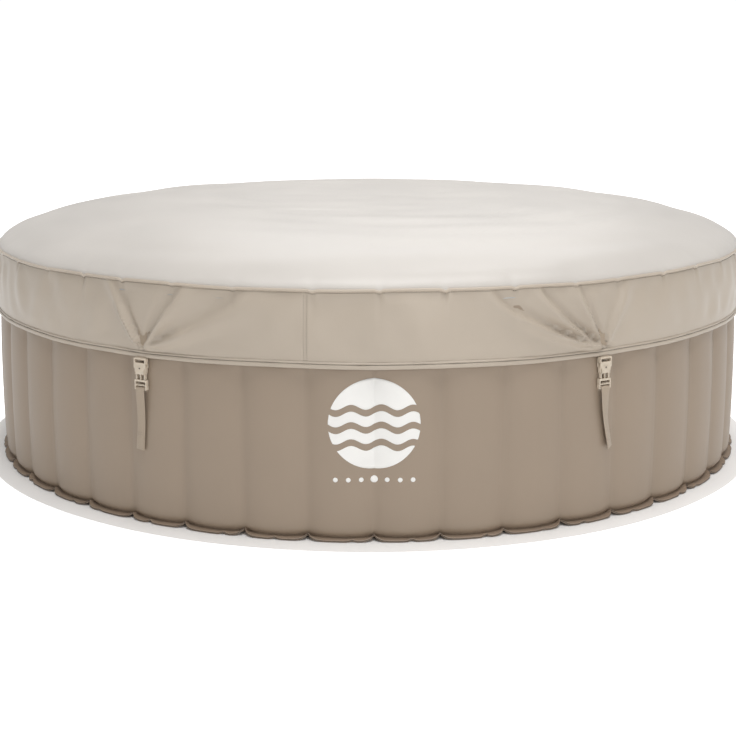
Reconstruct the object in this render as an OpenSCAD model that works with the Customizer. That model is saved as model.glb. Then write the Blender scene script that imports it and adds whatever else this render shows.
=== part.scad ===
// Round inflatable hot tub with its fitted, buckled cover and a pump unit behind it.
// Millimetres, +Z up, origin on the tub's axis at the underside of the ground mat.
// The front of the tub faces -Y and the pump unit stands on the +Y side.

/* [Tub] */
// Outer radius of the inflated wall
wall_r = 1026; // [906:10:1026]
// Thickness of the inflated wall, from outside to inside
wall_thick = 240; // [200:2:260]
// Height of the top of the rim above the ground
rim_top_z = 605; // [586:1:605]
// Height at which the straight walls turn into the rim
rim_base_z = 508; // [486:1:526]
// Number of welded channels around the wall
channels = 44; // [44]
// Drawn thickness of every welded sheet
sheet_t = 2; // [1:0.5:2]
// Radius of the ground mat
mat_r = 1085; // [1075:1:1100]
// Thickness of the ground mat
mat_t = 3; // [2:0.5:3]

/* [Cover] */
// Outer radius of the cover's skirt
cover_r = 1033; // [1033:1:1036]
// Height of the piping where the top meets the skirt
piping_z = 560; // [556:1:564]
// Radius of the piping
piping_r = 4; // [3:0.5:4]
// Height of the lower edge of the skirt
hem_z = 390; // [390]
// Height of the folded hem band
hem_h = 15; // [12:1:20]
// Rise of the middle of the cover above its piping
dome_rise = 121; // [115:1:130]

/* [Buckles and straps] */
// Number of buckles around the tub
buckles = 6; // [6]
// Width of the webbing
webbing_w = 25; // [20:1:25]
// Thickness of the webbing
webbing_t = 1.4; // [1:0.1:1.6]
// Width of a buckle
buckle_w = 36; // [34:1:38]
// Free length of a webbing tail below its buckle
tail_l = 140; // [80:2:140]

/* [Pump unit] */
// Width of the casing
unit_w = 380; // [370:2:400]
// Depth of the casing
unit_d = 340; // [330:2:360]
// Height of the top of the casing
unit_h = 430; // [430]
// Space between the wall and the casing
unit_gap = 124; // [124]
// Wall thickness of the casing
casing_t = 3; // [3:0.5:4]
// Radius of the casing's upright corners
corner_r = 42; // [30:1:60]

/* [Hidden] */

// Facets on large rings and on small round parts
ring_fn = 128;
small_fn = 48;
// Gap between neighbouring solids, and between a pin and its bore
gap = 0.3;
pin_gap = 0.4;

// Colours
cream = [0.85, 0.81, 0.76];
taupe = [0.61, 0.55, 0.48];
dark_taupe = [0.42, 0.34, 0.28];
mat_white = [0.94, 0.93, 0.92];
webbing_tan = [0.66, 0.60, 0.52];
buckle_beige = [0.72, 0.68, 0.60];
unit_grey = [0.78, 0.76, 0.73];
dark_grey = [0.25, 0.25, 0.26];

// Tub: inner radius, and the levels of the floor sheets above the mat
inner_r = wall_r - wall_thick;
base_z = mat_t + 0.2;
floor_z = base_z + sheet_t + 0.2;
floor_t = 4;
flange_r = wall_r + 10;
rim_mid_r = wall_r - wall_thick / 2;
channel_deg = 360 / channels;
wall_panels = 11;

// Cover: a flattened dome, z = piping_z + dome_rise (1 - (r / cover_r)^p)^(1 / q)
dome_p = 3.13;
dome_q = 1.59;
function dome_z(r) = piping_z + dome_rise * pow(1 - pow(r / cover_r, dome_p), 1 / dome_q);
skirt_in_r = cover_r - sheet_t;
skirt_panels = 6;
skirt_seam_deg = -8.2;
bladder_r = 770;
bladder_z = 586;
bladder_t = 1.5;
lining_t = 1.2;

// Buckles: their azimuths from the front, and their levels and depth in front of the wall
first_buckle = 30;
buckle_step = 360 / buckles;
buckle_r = cover_r + 4;
socket_top = hem_z - 2;
socket_bottom = socket_top - 37;
cavity_top = socket_top - 14;
plug_bottom = socket_top - 73;
plug_top = socket_bottom - 12.6;
buckle_t = 12;
plate_t = 2.3;
strap_in_r = skirt_in_r - 2.8;
sewn_l = 80;
prong_x = 11;
prong_pivot_z = plug_top + 2.6;
prong_root_r = 2.2;
prong_t = 6.4;
prong_tip_z = cavity_top - 1;

// Fittings: azimuth and height of the air valve and of the drain, midway between two ribs
valve_deg = 14.5 * channel_deg;
valve_z = 200;
valve_neck_r = 16;
valve_mouth = wall_r + 11;
valve_bore_r = 9;
drain_deg = -14.5 * channel_deg;
drain_z = 66;
spout_r = 13.2;
drain_mouth = wall_r + 32;
drain_bore_r = 10;
cap_t = 5;
knuckle_r = 3.4;
hinge_pin_r = 1.5;

// Pipe fittings between the tub and the pump unit: x and z of suction, return and air
ports = [[-60, 110], [60, 110], [60, 270]];
pipe_r = 25;
pipe_bore_r = 20.5;
port_flange_r = 44;
spigot_y = wall_r + 65;
seal_t = 2;
stub_y = spigot_y + seal_t;
nut_r = 36;
nut_l = 42;
nut_y = spigot_y - 21;

// Pump unit
unit_y = wall_r + unit_gap;
unit_cy = unit_y + unit_d / 2;
unit_back = unit_y + unit_d;
tray_z = 12;
casing_z = 40;
filter_x = -82;
filter_y = unit_y + 104;
cup_r = 58;
cup_z = 270;
cap_r = 70;
panel_x = 92;
panel_y = unit_y + 84;
panel_w = 160;
panel_d = 112;
panel_t = 12;
button_r = 9;
button_travel = 1.2;
button_x = [-54, -18, 18, 54];
button_y = -30;
window_w = 84;
window_d = 34;
window_y = 22;
gland_r = 4.2;
gland_l = 20;
gland_x = -110;
gland_z = 80;
pump_y = unit_y + 76;
volute_r = 50;
motor_r = 40;
impeller_r = 40;
heater_r = 30;
blower_x = 90;
blower_y = unit_y + 244;
blower_r = 60;
blower_z = 150;
blower_h = 88;
handle_y = unit_back - 52;
handle_z = unit_h + 13;
handle_half = 58;
handle_reach = 58;
handle_pin_r = 4;

// Profiles are drawn with x = distance from the axis and y = height.

// Ring of rectangular section
module ring(r0, r1, z0, z1)
    rotate_extrude($fn = ring_fn) translate([r0, z0]) square([r1 - r0, z1 - z0]);

// Sheet of revolution under a line of points, t thick downwards
module sheet(points, t)
    rotate_extrude($fn = ring_fn)
        polygon(concat(points, [for (i = [len(points) - 1:-1:0]) points[i] - [0, t]]));

// Turns its children from the front to an azimuth
module at(azimuth) rotate([0, 0, azimuth]) children();

// All the buckle places
module each_buckle() for (i = [0:buckles - 1]) at(first_buckle + i * buckle_step) children();

// Extrudes a profile along X, w wide, at the front of the tub
module across(w)
    rotate([0, 0, -90]) rotate([90, 0, 0]) linear_extrude(w, center = true) children();

// Cylinder along the outward direction at the front, from distance d0 to d1
module outward(r, d0, d1, z) translate([0, -d0, z]) rotate([90, 0, 0]) cylinder(r = r, h = d1 - d0);

// Cylinder along +Y from y0 to y1
module along_y(r, y0, y1) translate([0, y0, 0]) rotate([-90, 0, 0]) cylinder(r = r, h = y1 - y0);

// Flat block centred on x and given by its other limits
module block(w, y0, y1, z0, z1) translate([-w / 2, y0, z0]) cube([w, y1 - y0, z1 - z0]);

// Upright block with rounded corners
module rounded_block(w, d, h, r) linear_extrude(h) {
    square([w - 2 * r, d], center = true);
    square([w, d - 2 * r], center = true);
    for (sx = [-1, 1], sy = [-1, 1])
        translate([sx * (w / 2 - r), sy * (d / 2 - r)]) circle(r, $fn = small_fn);
}

// Narrow slits where the panels of a ring meet, from an azimuth on
module panel_slits(r0, r1, z0, z1, panels, first_deg = 0)
    for (i = [0:panels - 1]) at(first_deg + i * 360 / panels)
        block(0.2, -(r1 + 5), -(r0 - 5), z0 - 1, z1 + 1);

// A band of thickness t along a line of points
function unit_vector(v) = v / norm(v);
function run(points, i) =
    unit_vector(points[min(i + 1, len(points) - 1)] - points[max(i - 1, 0)]);
function side(points, i) = [-run(points, i)[1], run(points, i)[0]];
function band(points, t) = concat(
    [for (i = [0:len(points) - 1]) points[i] + side(points, i) * t / 2],
    [for (i = [len(points) - 1:-1:0]) points[i] - side(points, i) * t / 2]);

// ---- Tub ----

module ground_mat() color(mat_white) cylinder(r = mat_r, h = mat_t, $fn = ring_fn);

module base_sheet() color(dark_taupe)
    translate([0, 0, base_z]) cylinder(r = flange_r - 1, h = sheet_t, $fn = ring_fn);

module bottom_hem() color(dark_taupe) ring(wall_r + gap, flange_r, floor_z, floor_z + 3);

module port_holes(y0, y1, r)
    for (p = ports) translate([p[0], 0, p[1]]) along_y(r, y0, y1, $fn = small_fn);

module outer_wall() color(taupe) difference() {
    ring(wall_r - sheet_t, wall_r, floor_z, rim_base_z);
    port_holes(wall_r - 30, wall_r + 5, pipe_r + gap, $fn = small_fn);
    at(valve_deg) outward(valve_neck_r + gap, wall_r - 20, wall_r + 5, valve_z, $fn = small_fn);
    at(drain_deg) outward(spout_r + gap, wall_r - 20, wall_r + 5, drain_z, $fn = small_fn);
    panel_slits(wall_r - sheet_t, wall_r, floor_z, rim_base_z, wall_panels);
}

module inner_wall() color(taupe) difference() {
    ring(inner_r, inner_r + sheet_t, floor_z, rim_base_z);
    port_holes(inner_r - 20, inner_r + 10, pipe_r + gap, $fn = small_fn);
    at(drain_deg) outward(spout_r + gap, inner_r - 10, inner_r + 10, drain_z, $fn = small_fn);
    panel_slits(inner_r, inner_r + sheet_t, floor_z, rim_base_z, wall_panels);
}

function rim_arc(half_w, rise) = [for (a = [0:10:180])
    [rim_mid_r + half_w * cos(a), rim_base_z + gap + rise * sin(a)]];

module rim_sheet() color(taupe) difference() {
    rotate_extrude($fn = ring_fn)
        let (half_w = wall_thick / 2, rise = rim_top_z - rim_base_z, outer = rim_arc(half_w, rise),
             inner = rim_arc(half_w - sheet_t, rise - sheet_t))
            polygon(concat(outer, [for (i = [len(inner) - 1:-1:0]) inner[i]]));
    panel_slits(inner_r, wall_r, rim_base_z, rim_top_z, wall_panels);
}

module tension_ribs() color(mat_white)
    for (i = [0:channels - 1]) at(i * channel_deg)
        block(1.5, -(wall_r - sheet_t - 1.5), -(inner_r + sheet_t + 1.5), 25, rim_base_z - 12);

module inner_floor() color(taupe)
    translate([0, 0, floor_z]) cylinder(r = inner_r - 1, h = floor_t, $fn = ring_fn);

module bubble_ring() color(taupe) let (r1 = inner_r - 1.5, z0 = floor_z + floor_t + 0.2, w = 30, h = 28)
    rotate_extrude($fn = ring_fn)
        polygon([[r1, z0], [r1 - w, z0], [r1 - w, z0 + 0.35 * h], [r1 - 0.75 * w, z0 + 0.8 * h],
                 [r1 - 0.35 * w, z0 + h], [r1, z0 + h]]);

// Hinge at the top of a round mouth: two ears with a pin on the fitting, a knuckle on the cap.
module hinge_ears(mouth, top) {
    for (s = [-1, 1]) translate([s * 8, 0, 0])
        block(3, -(mouth + cap_t / 2 + 2.5), -(mouth - 6), top + 1, top + 6.5);
    translate([-8, -(mouth + cap_t / 2), top + 3]) rotate([0, 90, 0])
        cylinder(r = hinge_pin_r, h = 16, $fn = small_fn);
}

module hinged_cap(r, mouth, z, top) difference() {
    union() {
        outward(r, mouth + gap, mouth + gap + cap_t, z, $fn = small_fn);
        block(11.6, -(mouth + gap + cap_t), -(mouth + gap), z, top + 3);
        translate([-5.8, -(mouth + cap_t / 2), top + 3]) rotate([0, 90, 0])
            cylinder(r = knuckle_r, h = 11.6, $fn = small_fn);
        block(14, -(mouth + gap + cap_t + 3), -(mouth + gap + cap_t - 1), z - r + 1, z - r + 5);
    }
    translate([-7, -(mouth + cap_t / 2), top + 3]) rotate([0, 90, 0])
        cylinder(r = hinge_pin_r + pin_gap, h = 14, $fn = small_fn);
}

module valve_body() color(mat_white) at(valve_deg) difference() {
    union() {
        outward(28, wall_r + gap, wall_r + 3, valve_z, $fn = small_fn);
        outward(valve_neck_r, wall_r - 28, valve_mouth, valve_z, $fn = small_fn);
        hinge_ears(valve_mouth, valve_z + valve_neck_r);
        block(19, -(valve_mouth - 2), -(wall_r + 1), valve_z + valve_neck_r - 3,
              valve_z + valve_neck_r + 3);
    }
    outward(valve_bore_r, wall_r - 24, valve_mouth + 5, valve_z, $fn = small_fn);
}

module valve_cap() color(mat_white)
    at(valve_deg) hinged_cap(valve_neck_r + 1, valve_mouth, valve_z, valve_z + valve_neck_r);

module drain_body() color(mat_white) at(drain_deg) difference() {
    union() {
        outward(spout_r, inner_r - 8, drain_mouth, drain_z, $fn = small_fn);
        outward(24, wall_r + gap, wall_r + 4, drain_z, $fn = small_fn);
        outward(24, inner_r - 6, inner_r - 3, drain_z, $fn = small_fn);
        hinge_ears(drain_mouth, drain_z + spout_r);
        block(19, -(drain_mouth - 1), -(drain_mouth - 6), drain_z + spout_r - 3,
              drain_z + spout_r + 3);
    }
    outward(drain_bore_r, inner_r - 12, drain_mouth + 5, drain_z, $fn = small_fn);
}

module drain_cap() color(mat_white)
    at(drain_deg) hinged_cap(spout_r + 1, drain_mouth, drain_z, drain_z + spout_r);

module wall_ports() color(unit_grey) for (p = ports) translate([p[0], 0, p[1]]) difference() {
    union() {
        along_y(pipe_r, inner_r - 12, spigot_y, $fn = small_fn);
        along_y(port_flange_r, inner_r - 12, inner_r - 8, $fn = small_fn);
        along_y(port_flange_r, wall_r + gap, wall_r + 6, $fn = small_fn);
    }
    along_y(pipe_bore_r, inner_r - 20, spigot_y + 5, $fn = small_fn);
}

module port_seals() color(dark_grey) for (p = ports) translate([p[0], 0, p[1]]) difference() {
    along_y(pipe_r - 0.4, spigot_y + 0.1, stub_y - 0.1, $fn = small_fn);
    along_y(pipe_bore_r, spigot_y - 2, stub_y + 2, $fn = small_fn);
}

// Twist-lock grille in front of a port inside the tub
module grille(p) color(unit_grey) translate([p[0], 0, p[1]]) difference() {
    along_y(34, inner_r - 24, inner_r - 12 - gap, $fn = small_fn);
    along_y(30, inner_r - 21, inner_r - 8, $fn = small_fn);
    for (i = [-3:3]) translate([i * 7 - 1.5, inner_r - 30, -22]) cube([3, 12, 44]);
}
module suction_grille() grille(ports[0]);
module return_grille() grille(ports[1]);

// ---- Straps and buckles ----

module wall_anchors() color(webbing_tan) each_buckle() across(webbing_w)
    polygon(band([[wall_r + 1.2, plug_bottom - 70], [wall_r + 1.2, plug_bottom - 20],
                  [buckle_r - 5.6, plug_bottom + 3], [buckle_r - 5.6, plug_bottom + 13]], webbing_t));

module strap_tails() color(webbing_tan) each_buckle() across(webbing_w)
    polygon(band([[buckle_r + 7.3, plug_bottom + 18], [buckle_r + 7.3, plug_bottom + 4],
                  [buckle_r + 4, plug_bottom - 10], [buckle_r - 2, plug_bottom - 40],
                  [buckle_r - 8, plug_bottom - 80], [buckle_r - 8, plug_bottom - tail_l]], webbing_t));

module buckle_plugs() color(buckle_beige) each_buckle() difference() {
    union() {
        block(buckle_w, -(buckle_r + 4.8), -(buckle_r - 4.8), plug_bottom, plug_top);
        block(3, -(buckle_r + prong_t / 2), -(buckle_r - prong_t / 2), plug_top - 1, prong_tip_z - 8);
    }
    for (z = [plug_bottom + 4, plug_bottom + 13])
        block(webbing_w + 1, -(buckle_r + 8), -(buckle_r - 8), z, z + 4.6);
}

// Right-hand flexing prong with its root disc and its shoulder
module prong_shape() translate([0, -buckle_r, 0]) rotate([90, 0, 0])
    linear_extrude(prong_t, center = true) translate([prong_x, prong_pivot_z]) {
        circle(prong_root_r, $fn = small_fn);
        polygon([[-1.8, 0], [1.8, 0], [2, 12], [5, 15], [5, 24], [1.5, 31], [-0.6, 31], [-1.4, 20]]);
    }

// Prong of buckle i; left is 1 for the left-hand one and 0 for the right-hand one
module prong(i, left) color(buckle_beige) at(first_buckle + (i - 1) * buckle_step)
    mirror([left, 0, 0]) prong_shape();

module buckle_sockets() color(buckle_beige) each_buckle() difference() {
    block(buckle_w, -(buckle_r + buckle_t / 2), -(buckle_r - buckle_t / 2), socket_bottom, socket_top);
    block(buckle_w + 2, -(buckle_r + buckle_t / 2 - plate_t), -(buckle_r - buckle_t / 2 + plate_t),
          socket_bottom - 1, cavity_top);
    block(webbing_w + 1.4, -(buckle_r + buckle_t), -(buckle_r - buckle_t), socket_top - 9,
          socket_top - 4);
    block(webbing_w + 1.4, -(buckle_r + buckle_t), -(buckle_r + 1.8), socket_top - 5, socket_top + 1);
    block(webbing_w + 1.4, -(buckle_r - 2.2), -(buckle_r - buckle_t), socket_top - 5, socket_top + 1);
}

// ---- Cover ----

dome_edge_r = cover_r - 2;
function dome_line(r_end, drop) = [for (i = [0:18]) let (r = r_end * sin(5 * i))
    [r, dome_z(r) - drop]];

module cover_top() color(cream) sheet(dome_line(dome_edge_r, 0), sheet_t);

module cover_piping() color(cream)
    rotate_extrude($fn = ring_fn)
        translate([cover_r + piping_r - 1.6, piping_z - 1]) circle(piping_r, $fn = 24);

module cover_skirt() color(cream) difference() {
    ring(skirt_in_r, cover_r, hem_z + hem_h + 0.2, piping_z - piping_r - 1.2);
    panel_slits(skirt_in_r, cover_r, hem_z + hem_h, piping_z - piping_r, skirt_panels, skirt_seam_deg);
}

module cover_hem() color(cream) ring(skirt_in_r - 1, cover_r + 3, hem_z, hem_z + hem_h);

// The lining goes flat under the bladder and then over the rim
module cover_lining() color(unit_grey) let (over = [for (a = [75:-15:15])
    [rim_mid_r + (wall_thick / 2 + 4) * cos(a), rim_base_z + (rim_top_z - rim_base_z + 7) * sin(a)]])
    sheet(concat([[0, bladder_z - 2.4], [bladder_r - 20, bladder_z - 2.4],
                  [inner_r + 24, rim_top_z + 2], [rim_mid_r, rim_top_z + 8]], over), lining_t);

// Inflated disc under the top sheet; inset moves its outline inwards
function bladder_line(inset) = concat(
    [for (i = [0:14]) let (r = (bladder_r - 40) * sin(90 * i / 14))
        [r, dome_z(r) - 8 - 14 * pow(r / bladder_r, 4) - inset]],
    [[bladder_r - 18 - inset, bladder_z + 38], [bladder_r - 14 - inset, bladder_z + 28],
     [bladder_r - 22 - inset, bladder_z + 12], [bladder_r - 44 - inset, bladder_z + inset],
     [0, bladder_z + inset]]);

module cover_bladder() color(unit_grey) rotate_extrude($fn = ring_fn) difference() {
    polygon(bladder_line(0));
    polygon(bladder_line(bladder_t));
}

// Webbing loop that hangs from inside the skirt and goes round the socket's bar
module cover_straps() color(webbing_tan) each_buckle() across(webbing_w)
    let (z0 = socket_top - 8.6, loop_w = buckle_r + 4.4 - strap_in_r, loop_h = 10.2)
        translate([strap_in_r, z0]) difference() {
            union() {
                square([webbing_t, sewn_l]);
                square([loop_w, loop_h]);
            }
            translate([webbing_t, webbing_t]) square([loop_w - 2 * webbing_t, loop_h - 2 * webbing_t]);
        }

module zip_slider() color(dark_grey)
    translate([0, -700, 0]) {
        block(9, -7, 7, bladder_z - 10.4, bladder_z - 4);
        block(5, -30, -6, bladder_z - 9, bladder_z - 7.4);
    }

// ---- Pump unit ----

module unit_base() color(dark_grey) {
    translate([0, unit_cy, tray_z])
        rounded_block(unit_w - 8, unit_d - 8, casing_z - tray_z - 0.2, corner_r);
    for (sx = [-1, 1], sy = [-1, 1])
        translate([sx * (unit_w / 2 - 50), unit_cy + sy * (unit_d / 2 - 50), 0])
            cylinder(r = 20, h = tray_z + 1, $fn = small_fn);
}

module unit_casing() color(unit_grey) difference() {
    union() {
        difference() {
            translate([0, unit_cy, casing_z])
                rounded_block(unit_w, unit_d, unit_h - casing_z, corner_r);
            translate([0, unit_cy, casing_z - 1])
                rounded_block(unit_w - 2 * casing_t, unit_d - 2 * casing_t,
                              unit_h - casing_z - casing_t + 1, corner_r - casing_t);
        }
        translate([filter_x, filter_y, cup_z])
            cylinder(r = cup_r + casing_t, h = unit_h - cup_z - 1, $fn = small_fn);
        for (p = ports) translate([p[0], 0, p[1]]) along_y(pipe_r, stub_y, unit_y + 1, $fn = small_fn);
        translate([gland_x, 0, gland_z]) along_y(10, unit_back - 1, unit_back + gland_l, $fn = small_fn);
        for (s = [-1, 1]) translate([s * (handle_half + 5), 0, 0])
            block(6, handle_y - 9, handle_y + 9, unit_h - 1, handle_z + 7);
    }
    translate([filter_x, filter_y, cup_z + casing_t]) cylinder(r = cup_r, h = unit_h, $fn = small_fn);
    for (p = ports) translate([p[0], 0, p[1]])
        along_y(pipe_bore_r, stub_y - 5, unit_y + 10, $fn = small_fn);
    translate([gland_x, 0, gland_z])
        along_y(gland_r, unit_back - casing_t - 5, unit_back + gland_l + 5, $fn = small_fn);
    translate([-handle_half - 20, handle_y, handle_z]) rotate([0, 90, 0])
        cylinder(r = handle_pin_r + pin_gap, h = 2 * handle_half + 40, $fn = small_fn);
    for (i = [0:9], s = [-1, 1])
        translate([s * unit_w / 2 - 10, unit_cy - 76 + i * 16, 190]) cube([20, 3.4, 150]);
}

module control_panel() color(dark_grey) translate([panel_x, panel_y, unit_h + gap]) difference() {
    rounded_block(panel_w, panel_d, panel_t, 14);
    for (x = button_x) translate([x, button_y, panel_t - 8])
        cylinder(r = button_r + gap, h = 10, $fn = small_fn);
    translate([0, window_y, panel_t - 2])
        rounded_block(window_w + 2 * gap, window_d + 2 * gap, 4, 4 + gap);
}

module display_window() color(dark_taupe)
    translate([panel_x, panel_y + window_y, unit_h + gap + panel_t - 1.8])
        rounded_block(window_w, window_d, 1.8, 4);

module button(i) color(mat_white)
    translate([panel_x + button_x[i - 1], panel_y + button_y,
               unit_h + gap + panel_t - 8 + button_travel + gap])
        cylinder(r = button_r, h = 8.7, $fn = small_fn);

module filter_cap() color(dark_grey) translate([filter_x, filter_y, unit_h + gap]) {
    cylinder(r = cap_r, h = 14, $fn = 96);
    translate([-cap_r + 16, -8, 13]) cube([2 * cap_r - 32, 16, 11]);
}

module filter_cartridge() color(mat_white)
    translate([filter_x, filter_y, cup_z + casing_t + gap]) difference() {
    union() {
        cylinder(r = 48, h = 140, $fn = small_fn);
        cylinder(r = 53, h = 8, $fn = small_fn);
        translate([0, 0, 132]) cylinder(r = 53, h = 8, $fn = small_fn);
    }
    translate([0, 0, -1]) cylinder(r = 22, h = 143, $fn = small_fn);
}

// Volute with an axial inlet, its motor behind and its outlet bend on top
module water_pump() color(dark_grey) translate([ports[0][0], 0, ports[0][1]]) difference() {
    union() {
        along_y(14, unit_y + casing_t + 1, pump_y - 18, $fn = small_fn);
        along_y(volute_r, pump_y - 20, pump_y + 20, $fn = small_fn);
        along_y(motor_r, pump_y + 19, pump_y + 130, $fn = small_fn);
        translate([36, pump_y, 0]) cylinder(r = 12, h = 137, $fn = small_fn);
        translate([36, pump_y, 125]) rotate([0, 90, 0]) cylinder(r = 12, h = 53.5, $fn = small_fn);
    }
    along_y(impeller_r + 4, pump_y - 14, pump_y + 14, $fn = small_fn);
    along_y(10, unit_y, pump_y, $fn = small_fn);
    along_y(4.5, pump_y, pump_y + 60, $fn = small_fn);
}

module pump_impeller() color(mat_white) translate([ports[0][0], 0, ports[0][1]]) {
    along_y(impeller_r, pump_y + 6, pump_y + 10, $fn = small_fn);
    along_y(4, pump_y - 8, pump_y + 50, $fn = small_fn);
    for (i = [0:5]) rotate([0, 60 * i, 0]) translate([3, pump_y - 9, -1]) cube([34, 16, 2]);
}

module heater_tube() color(unit_grey) translate([ports[1][0], pump_y, 0]) difference() {
    union() {
        translate([0, 0, 82]) cylinder(r = heater_r, h = 172, $fn = small_fn);
        translate([0, unit_y + casing_t + 1 - pump_y, ports[1][1]])
            rotate([-90, 0, 0])
                cylinder(r = 14, h = pump_y - unit_y - casing_t - heater_r + 4, $fn = small_fn);
    }
    translate([0, 0, 85]) cylinder(r = heater_r - 3, h = 166, $fn = small_fn);
}

// Round housing with the pipe that carries air to the upper port
module air_blower() color(dark_grey) difference() {
    union() {
        translate([blower_x, blower_y, blower_z]) cylinder(r = blower_r, h = blower_h, $fn = small_fn);
        translate([ports[2][0], blower_y - 20, blower_z + blower_h - 1])
            cylinder(r = 11, h = ports[2][1] - blower_z - blower_h + 12, $fn = small_fn);
        translate([ports[2][0], 0, ports[2][1]])
            along_y(11, unit_y + casing_t + 1, blower_y - 20, $fn = small_fn);
    }
    translate([blower_x, blower_y, blower_z + 4])
        cylinder(r = blower_r - 4, h = blower_h - 8, $fn = small_fn);
}

module blower_fan() color(mat_white) translate([blower_x, blower_y, blower_z + 14]) {
    cylinder(r = 46, h = 3, $fn = small_fn);
    cylinder(r = 12, h = 44, $fn = small_fn);
    for (i = [0:8]) rotate([0, 0, 40 * i]) translate([20, -1, 2]) cube([26, 2, 40]);
}

// Union nut with six grip ribs
module coupling_nut(p) color(dark_grey) translate([p[0], 0, p[1]]) difference() {
    union() {
        along_y(nut_r, nut_y, nut_y + nut_l, $fn = small_fn);
        for (i = [0:11]) rotate([0, 30 * i, 0])
            translate([nut_r - 2, nut_y + 3, -3]) cube([5, nut_l - 6, 6]);
    }
    along_y(pipe_r + 0.35, nut_y - 5, nut_y + nut_l + 5, $fn = small_fn);
}

// Handle folded forward on the casing, hinged in the two lugs
module unit_handle() color(dark_grey) {
    for (s = [-1, 1]) {
        translate([s * (handle_half - 5), 0, 0])
            block(10, handle_y - handle_reach, handle_y, handle_z - 6, handle_z + 6);
        translate([s * (handle_half - 5) - 5, handle_y, handle_z]) rotate([0, 90, 0])
            cylinder(r = 7, h = 10, $fn = small_fn);
    }
    translate([-handle_half - 7.5, handle_y, handle_z]) rotate([0, 90, 0])
        cylinder(r = handle_pin_r, h = 12, $fn = small_fn);
    translate([handle_half - 4.5, handle_y, handle_z]) rotate([0, 90, 0])
        cylinder(r = handle_pin_r, h = 12, $fn = small_fn);
    block(2 * handle_half, handle_y - handle_reach - 12, handle_y - handle_reach + 1,
          handle_z - 6, handle_z + 6);
}

ground_mat();
base_sheet();
bottom_hem();
outer_wall();
inner_wall();
rim_sheet();
tension_ribs();
inner_floor();
bubble_ring();
valve_body();
valve_cap();
drain_body();
drain_cap();
wall_ports();
port_seals();
suction_grille();
return_grille();
wall_anchors();
strap_tails();
buckle_plugs();
for (i = [1:6]) {
    prong(i, 1);
    prong(i, 0);
}
cover_top();
cover_piping();
cover_skirt();
cover_hem();
cover_lining();
cover_bladder();
cover_straps();
buckle_sockets();
zip_slider();
unit_base();
unit_casing();
control_panel();
display_window();
for (i = [1:4]) button(i);
filter_cap();
filter_cartridge();
water_pump();
pump_impeller();
heater_tube();
air_blower();
blower_fan();
for (i = [1:3]) coupling_nut(ports[i - 1]);
unit_handle();
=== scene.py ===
"""Looks of a round inflatable hot tub: its welded walls, buckled cover, straps, pump unit and stage."""

import math
from itertools import chain

import bpy
import numpy as np
from bpy.props import FloatProperty, FloatVectorProperty, IntProperty
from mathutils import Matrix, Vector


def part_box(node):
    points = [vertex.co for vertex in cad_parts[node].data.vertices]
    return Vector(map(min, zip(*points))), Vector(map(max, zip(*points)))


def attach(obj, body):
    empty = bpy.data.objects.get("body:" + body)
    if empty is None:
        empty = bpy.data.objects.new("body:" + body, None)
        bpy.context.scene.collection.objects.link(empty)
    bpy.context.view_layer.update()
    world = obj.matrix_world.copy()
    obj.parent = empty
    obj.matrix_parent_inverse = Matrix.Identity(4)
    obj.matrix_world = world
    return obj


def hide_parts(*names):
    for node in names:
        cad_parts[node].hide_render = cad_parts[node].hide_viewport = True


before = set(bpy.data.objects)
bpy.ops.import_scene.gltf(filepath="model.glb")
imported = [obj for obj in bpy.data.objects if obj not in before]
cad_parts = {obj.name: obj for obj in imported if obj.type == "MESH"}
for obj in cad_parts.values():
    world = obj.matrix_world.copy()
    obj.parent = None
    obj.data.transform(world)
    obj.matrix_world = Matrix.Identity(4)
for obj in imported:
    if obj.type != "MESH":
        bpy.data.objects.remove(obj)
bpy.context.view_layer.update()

bl_info = {
    "name": "Inflatable hot tub",
    "version": (1, 0, 0),
    "blender": (4, 5, 0),
    "location": "View3D > Sidebar > Hot tub",
    "description": "Builds the soft walls, cover, straps and pump unit of an inflatable hot tub on its frame",
    "category": "Add Mesh",
}

TAU = 2 * math.pi
RIGHT, BACK, UP = np.array([1.0, 0, 0]), np.array([0, 1.0, 0]), np.array([0, 0, 1.0])

# Levels and radii that the frame gives, in metres
WALL_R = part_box("outer_wall")[1].x
WALL_LOW, WALL_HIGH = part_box("outer_wall")[0].z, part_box("outer_wall")[1].z
SHEET = 0.002
RIM_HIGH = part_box("rim_sheet")[1].z
INNER_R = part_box("inner_floor")[1].x + 0.001
RIM_MID = (WALL_R + INNER_R) / 2
MAT_R, MAT_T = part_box("ground_mat")[1].x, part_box("ground_mat")[1].z
BASE_LOW, BASE_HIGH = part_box("base_sheet")[0].z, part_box("base_sheet")[1].z
FLANGE_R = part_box("bottom_hem")[1].x
FLANGE_LOW, FLANGE_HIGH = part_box("bottom_hem")[0].z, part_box("bottom_hem")[1].z
HEM_LOW, HEM_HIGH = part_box("cover_hem")[0].z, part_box("cover_hem")[1].z
SKIRT_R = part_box("cover_skirt")[1].x
SKIRT_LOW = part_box("cover_skirt")[0].z
PIPING_R = SKIRT_R - 0.0055
BLADDER_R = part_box("cover_bladder")[1].x
PIPING_Z = (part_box("cover_piping")[0].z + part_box("cover_piping")[1].z) / 2
TOP_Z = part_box("cover_top")[1].z
SOCKET_LOW, SOCKET_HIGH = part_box("buckle_sockets")[0].z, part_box("buckle_sockets")[1].z
BUCKLE_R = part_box("buckle_sockets")[1].x - 0.006
PLUG_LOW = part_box("buckle_plugs")[0].z
TAIL_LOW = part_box("strap_tails")[0].z
BUCKLES = [math.radians(30 + 60 * i) for i in range(6)]
FRONT_LEFT, FRONT_RIGHT = BUCKLES[5], BUCKLES[0]
FITTING, VALVE_Z, DRAIN_Z = np.radians(118.64), 0.200, 0.066  # the valve stands at +FITTING, the drain at -FITTING
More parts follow.
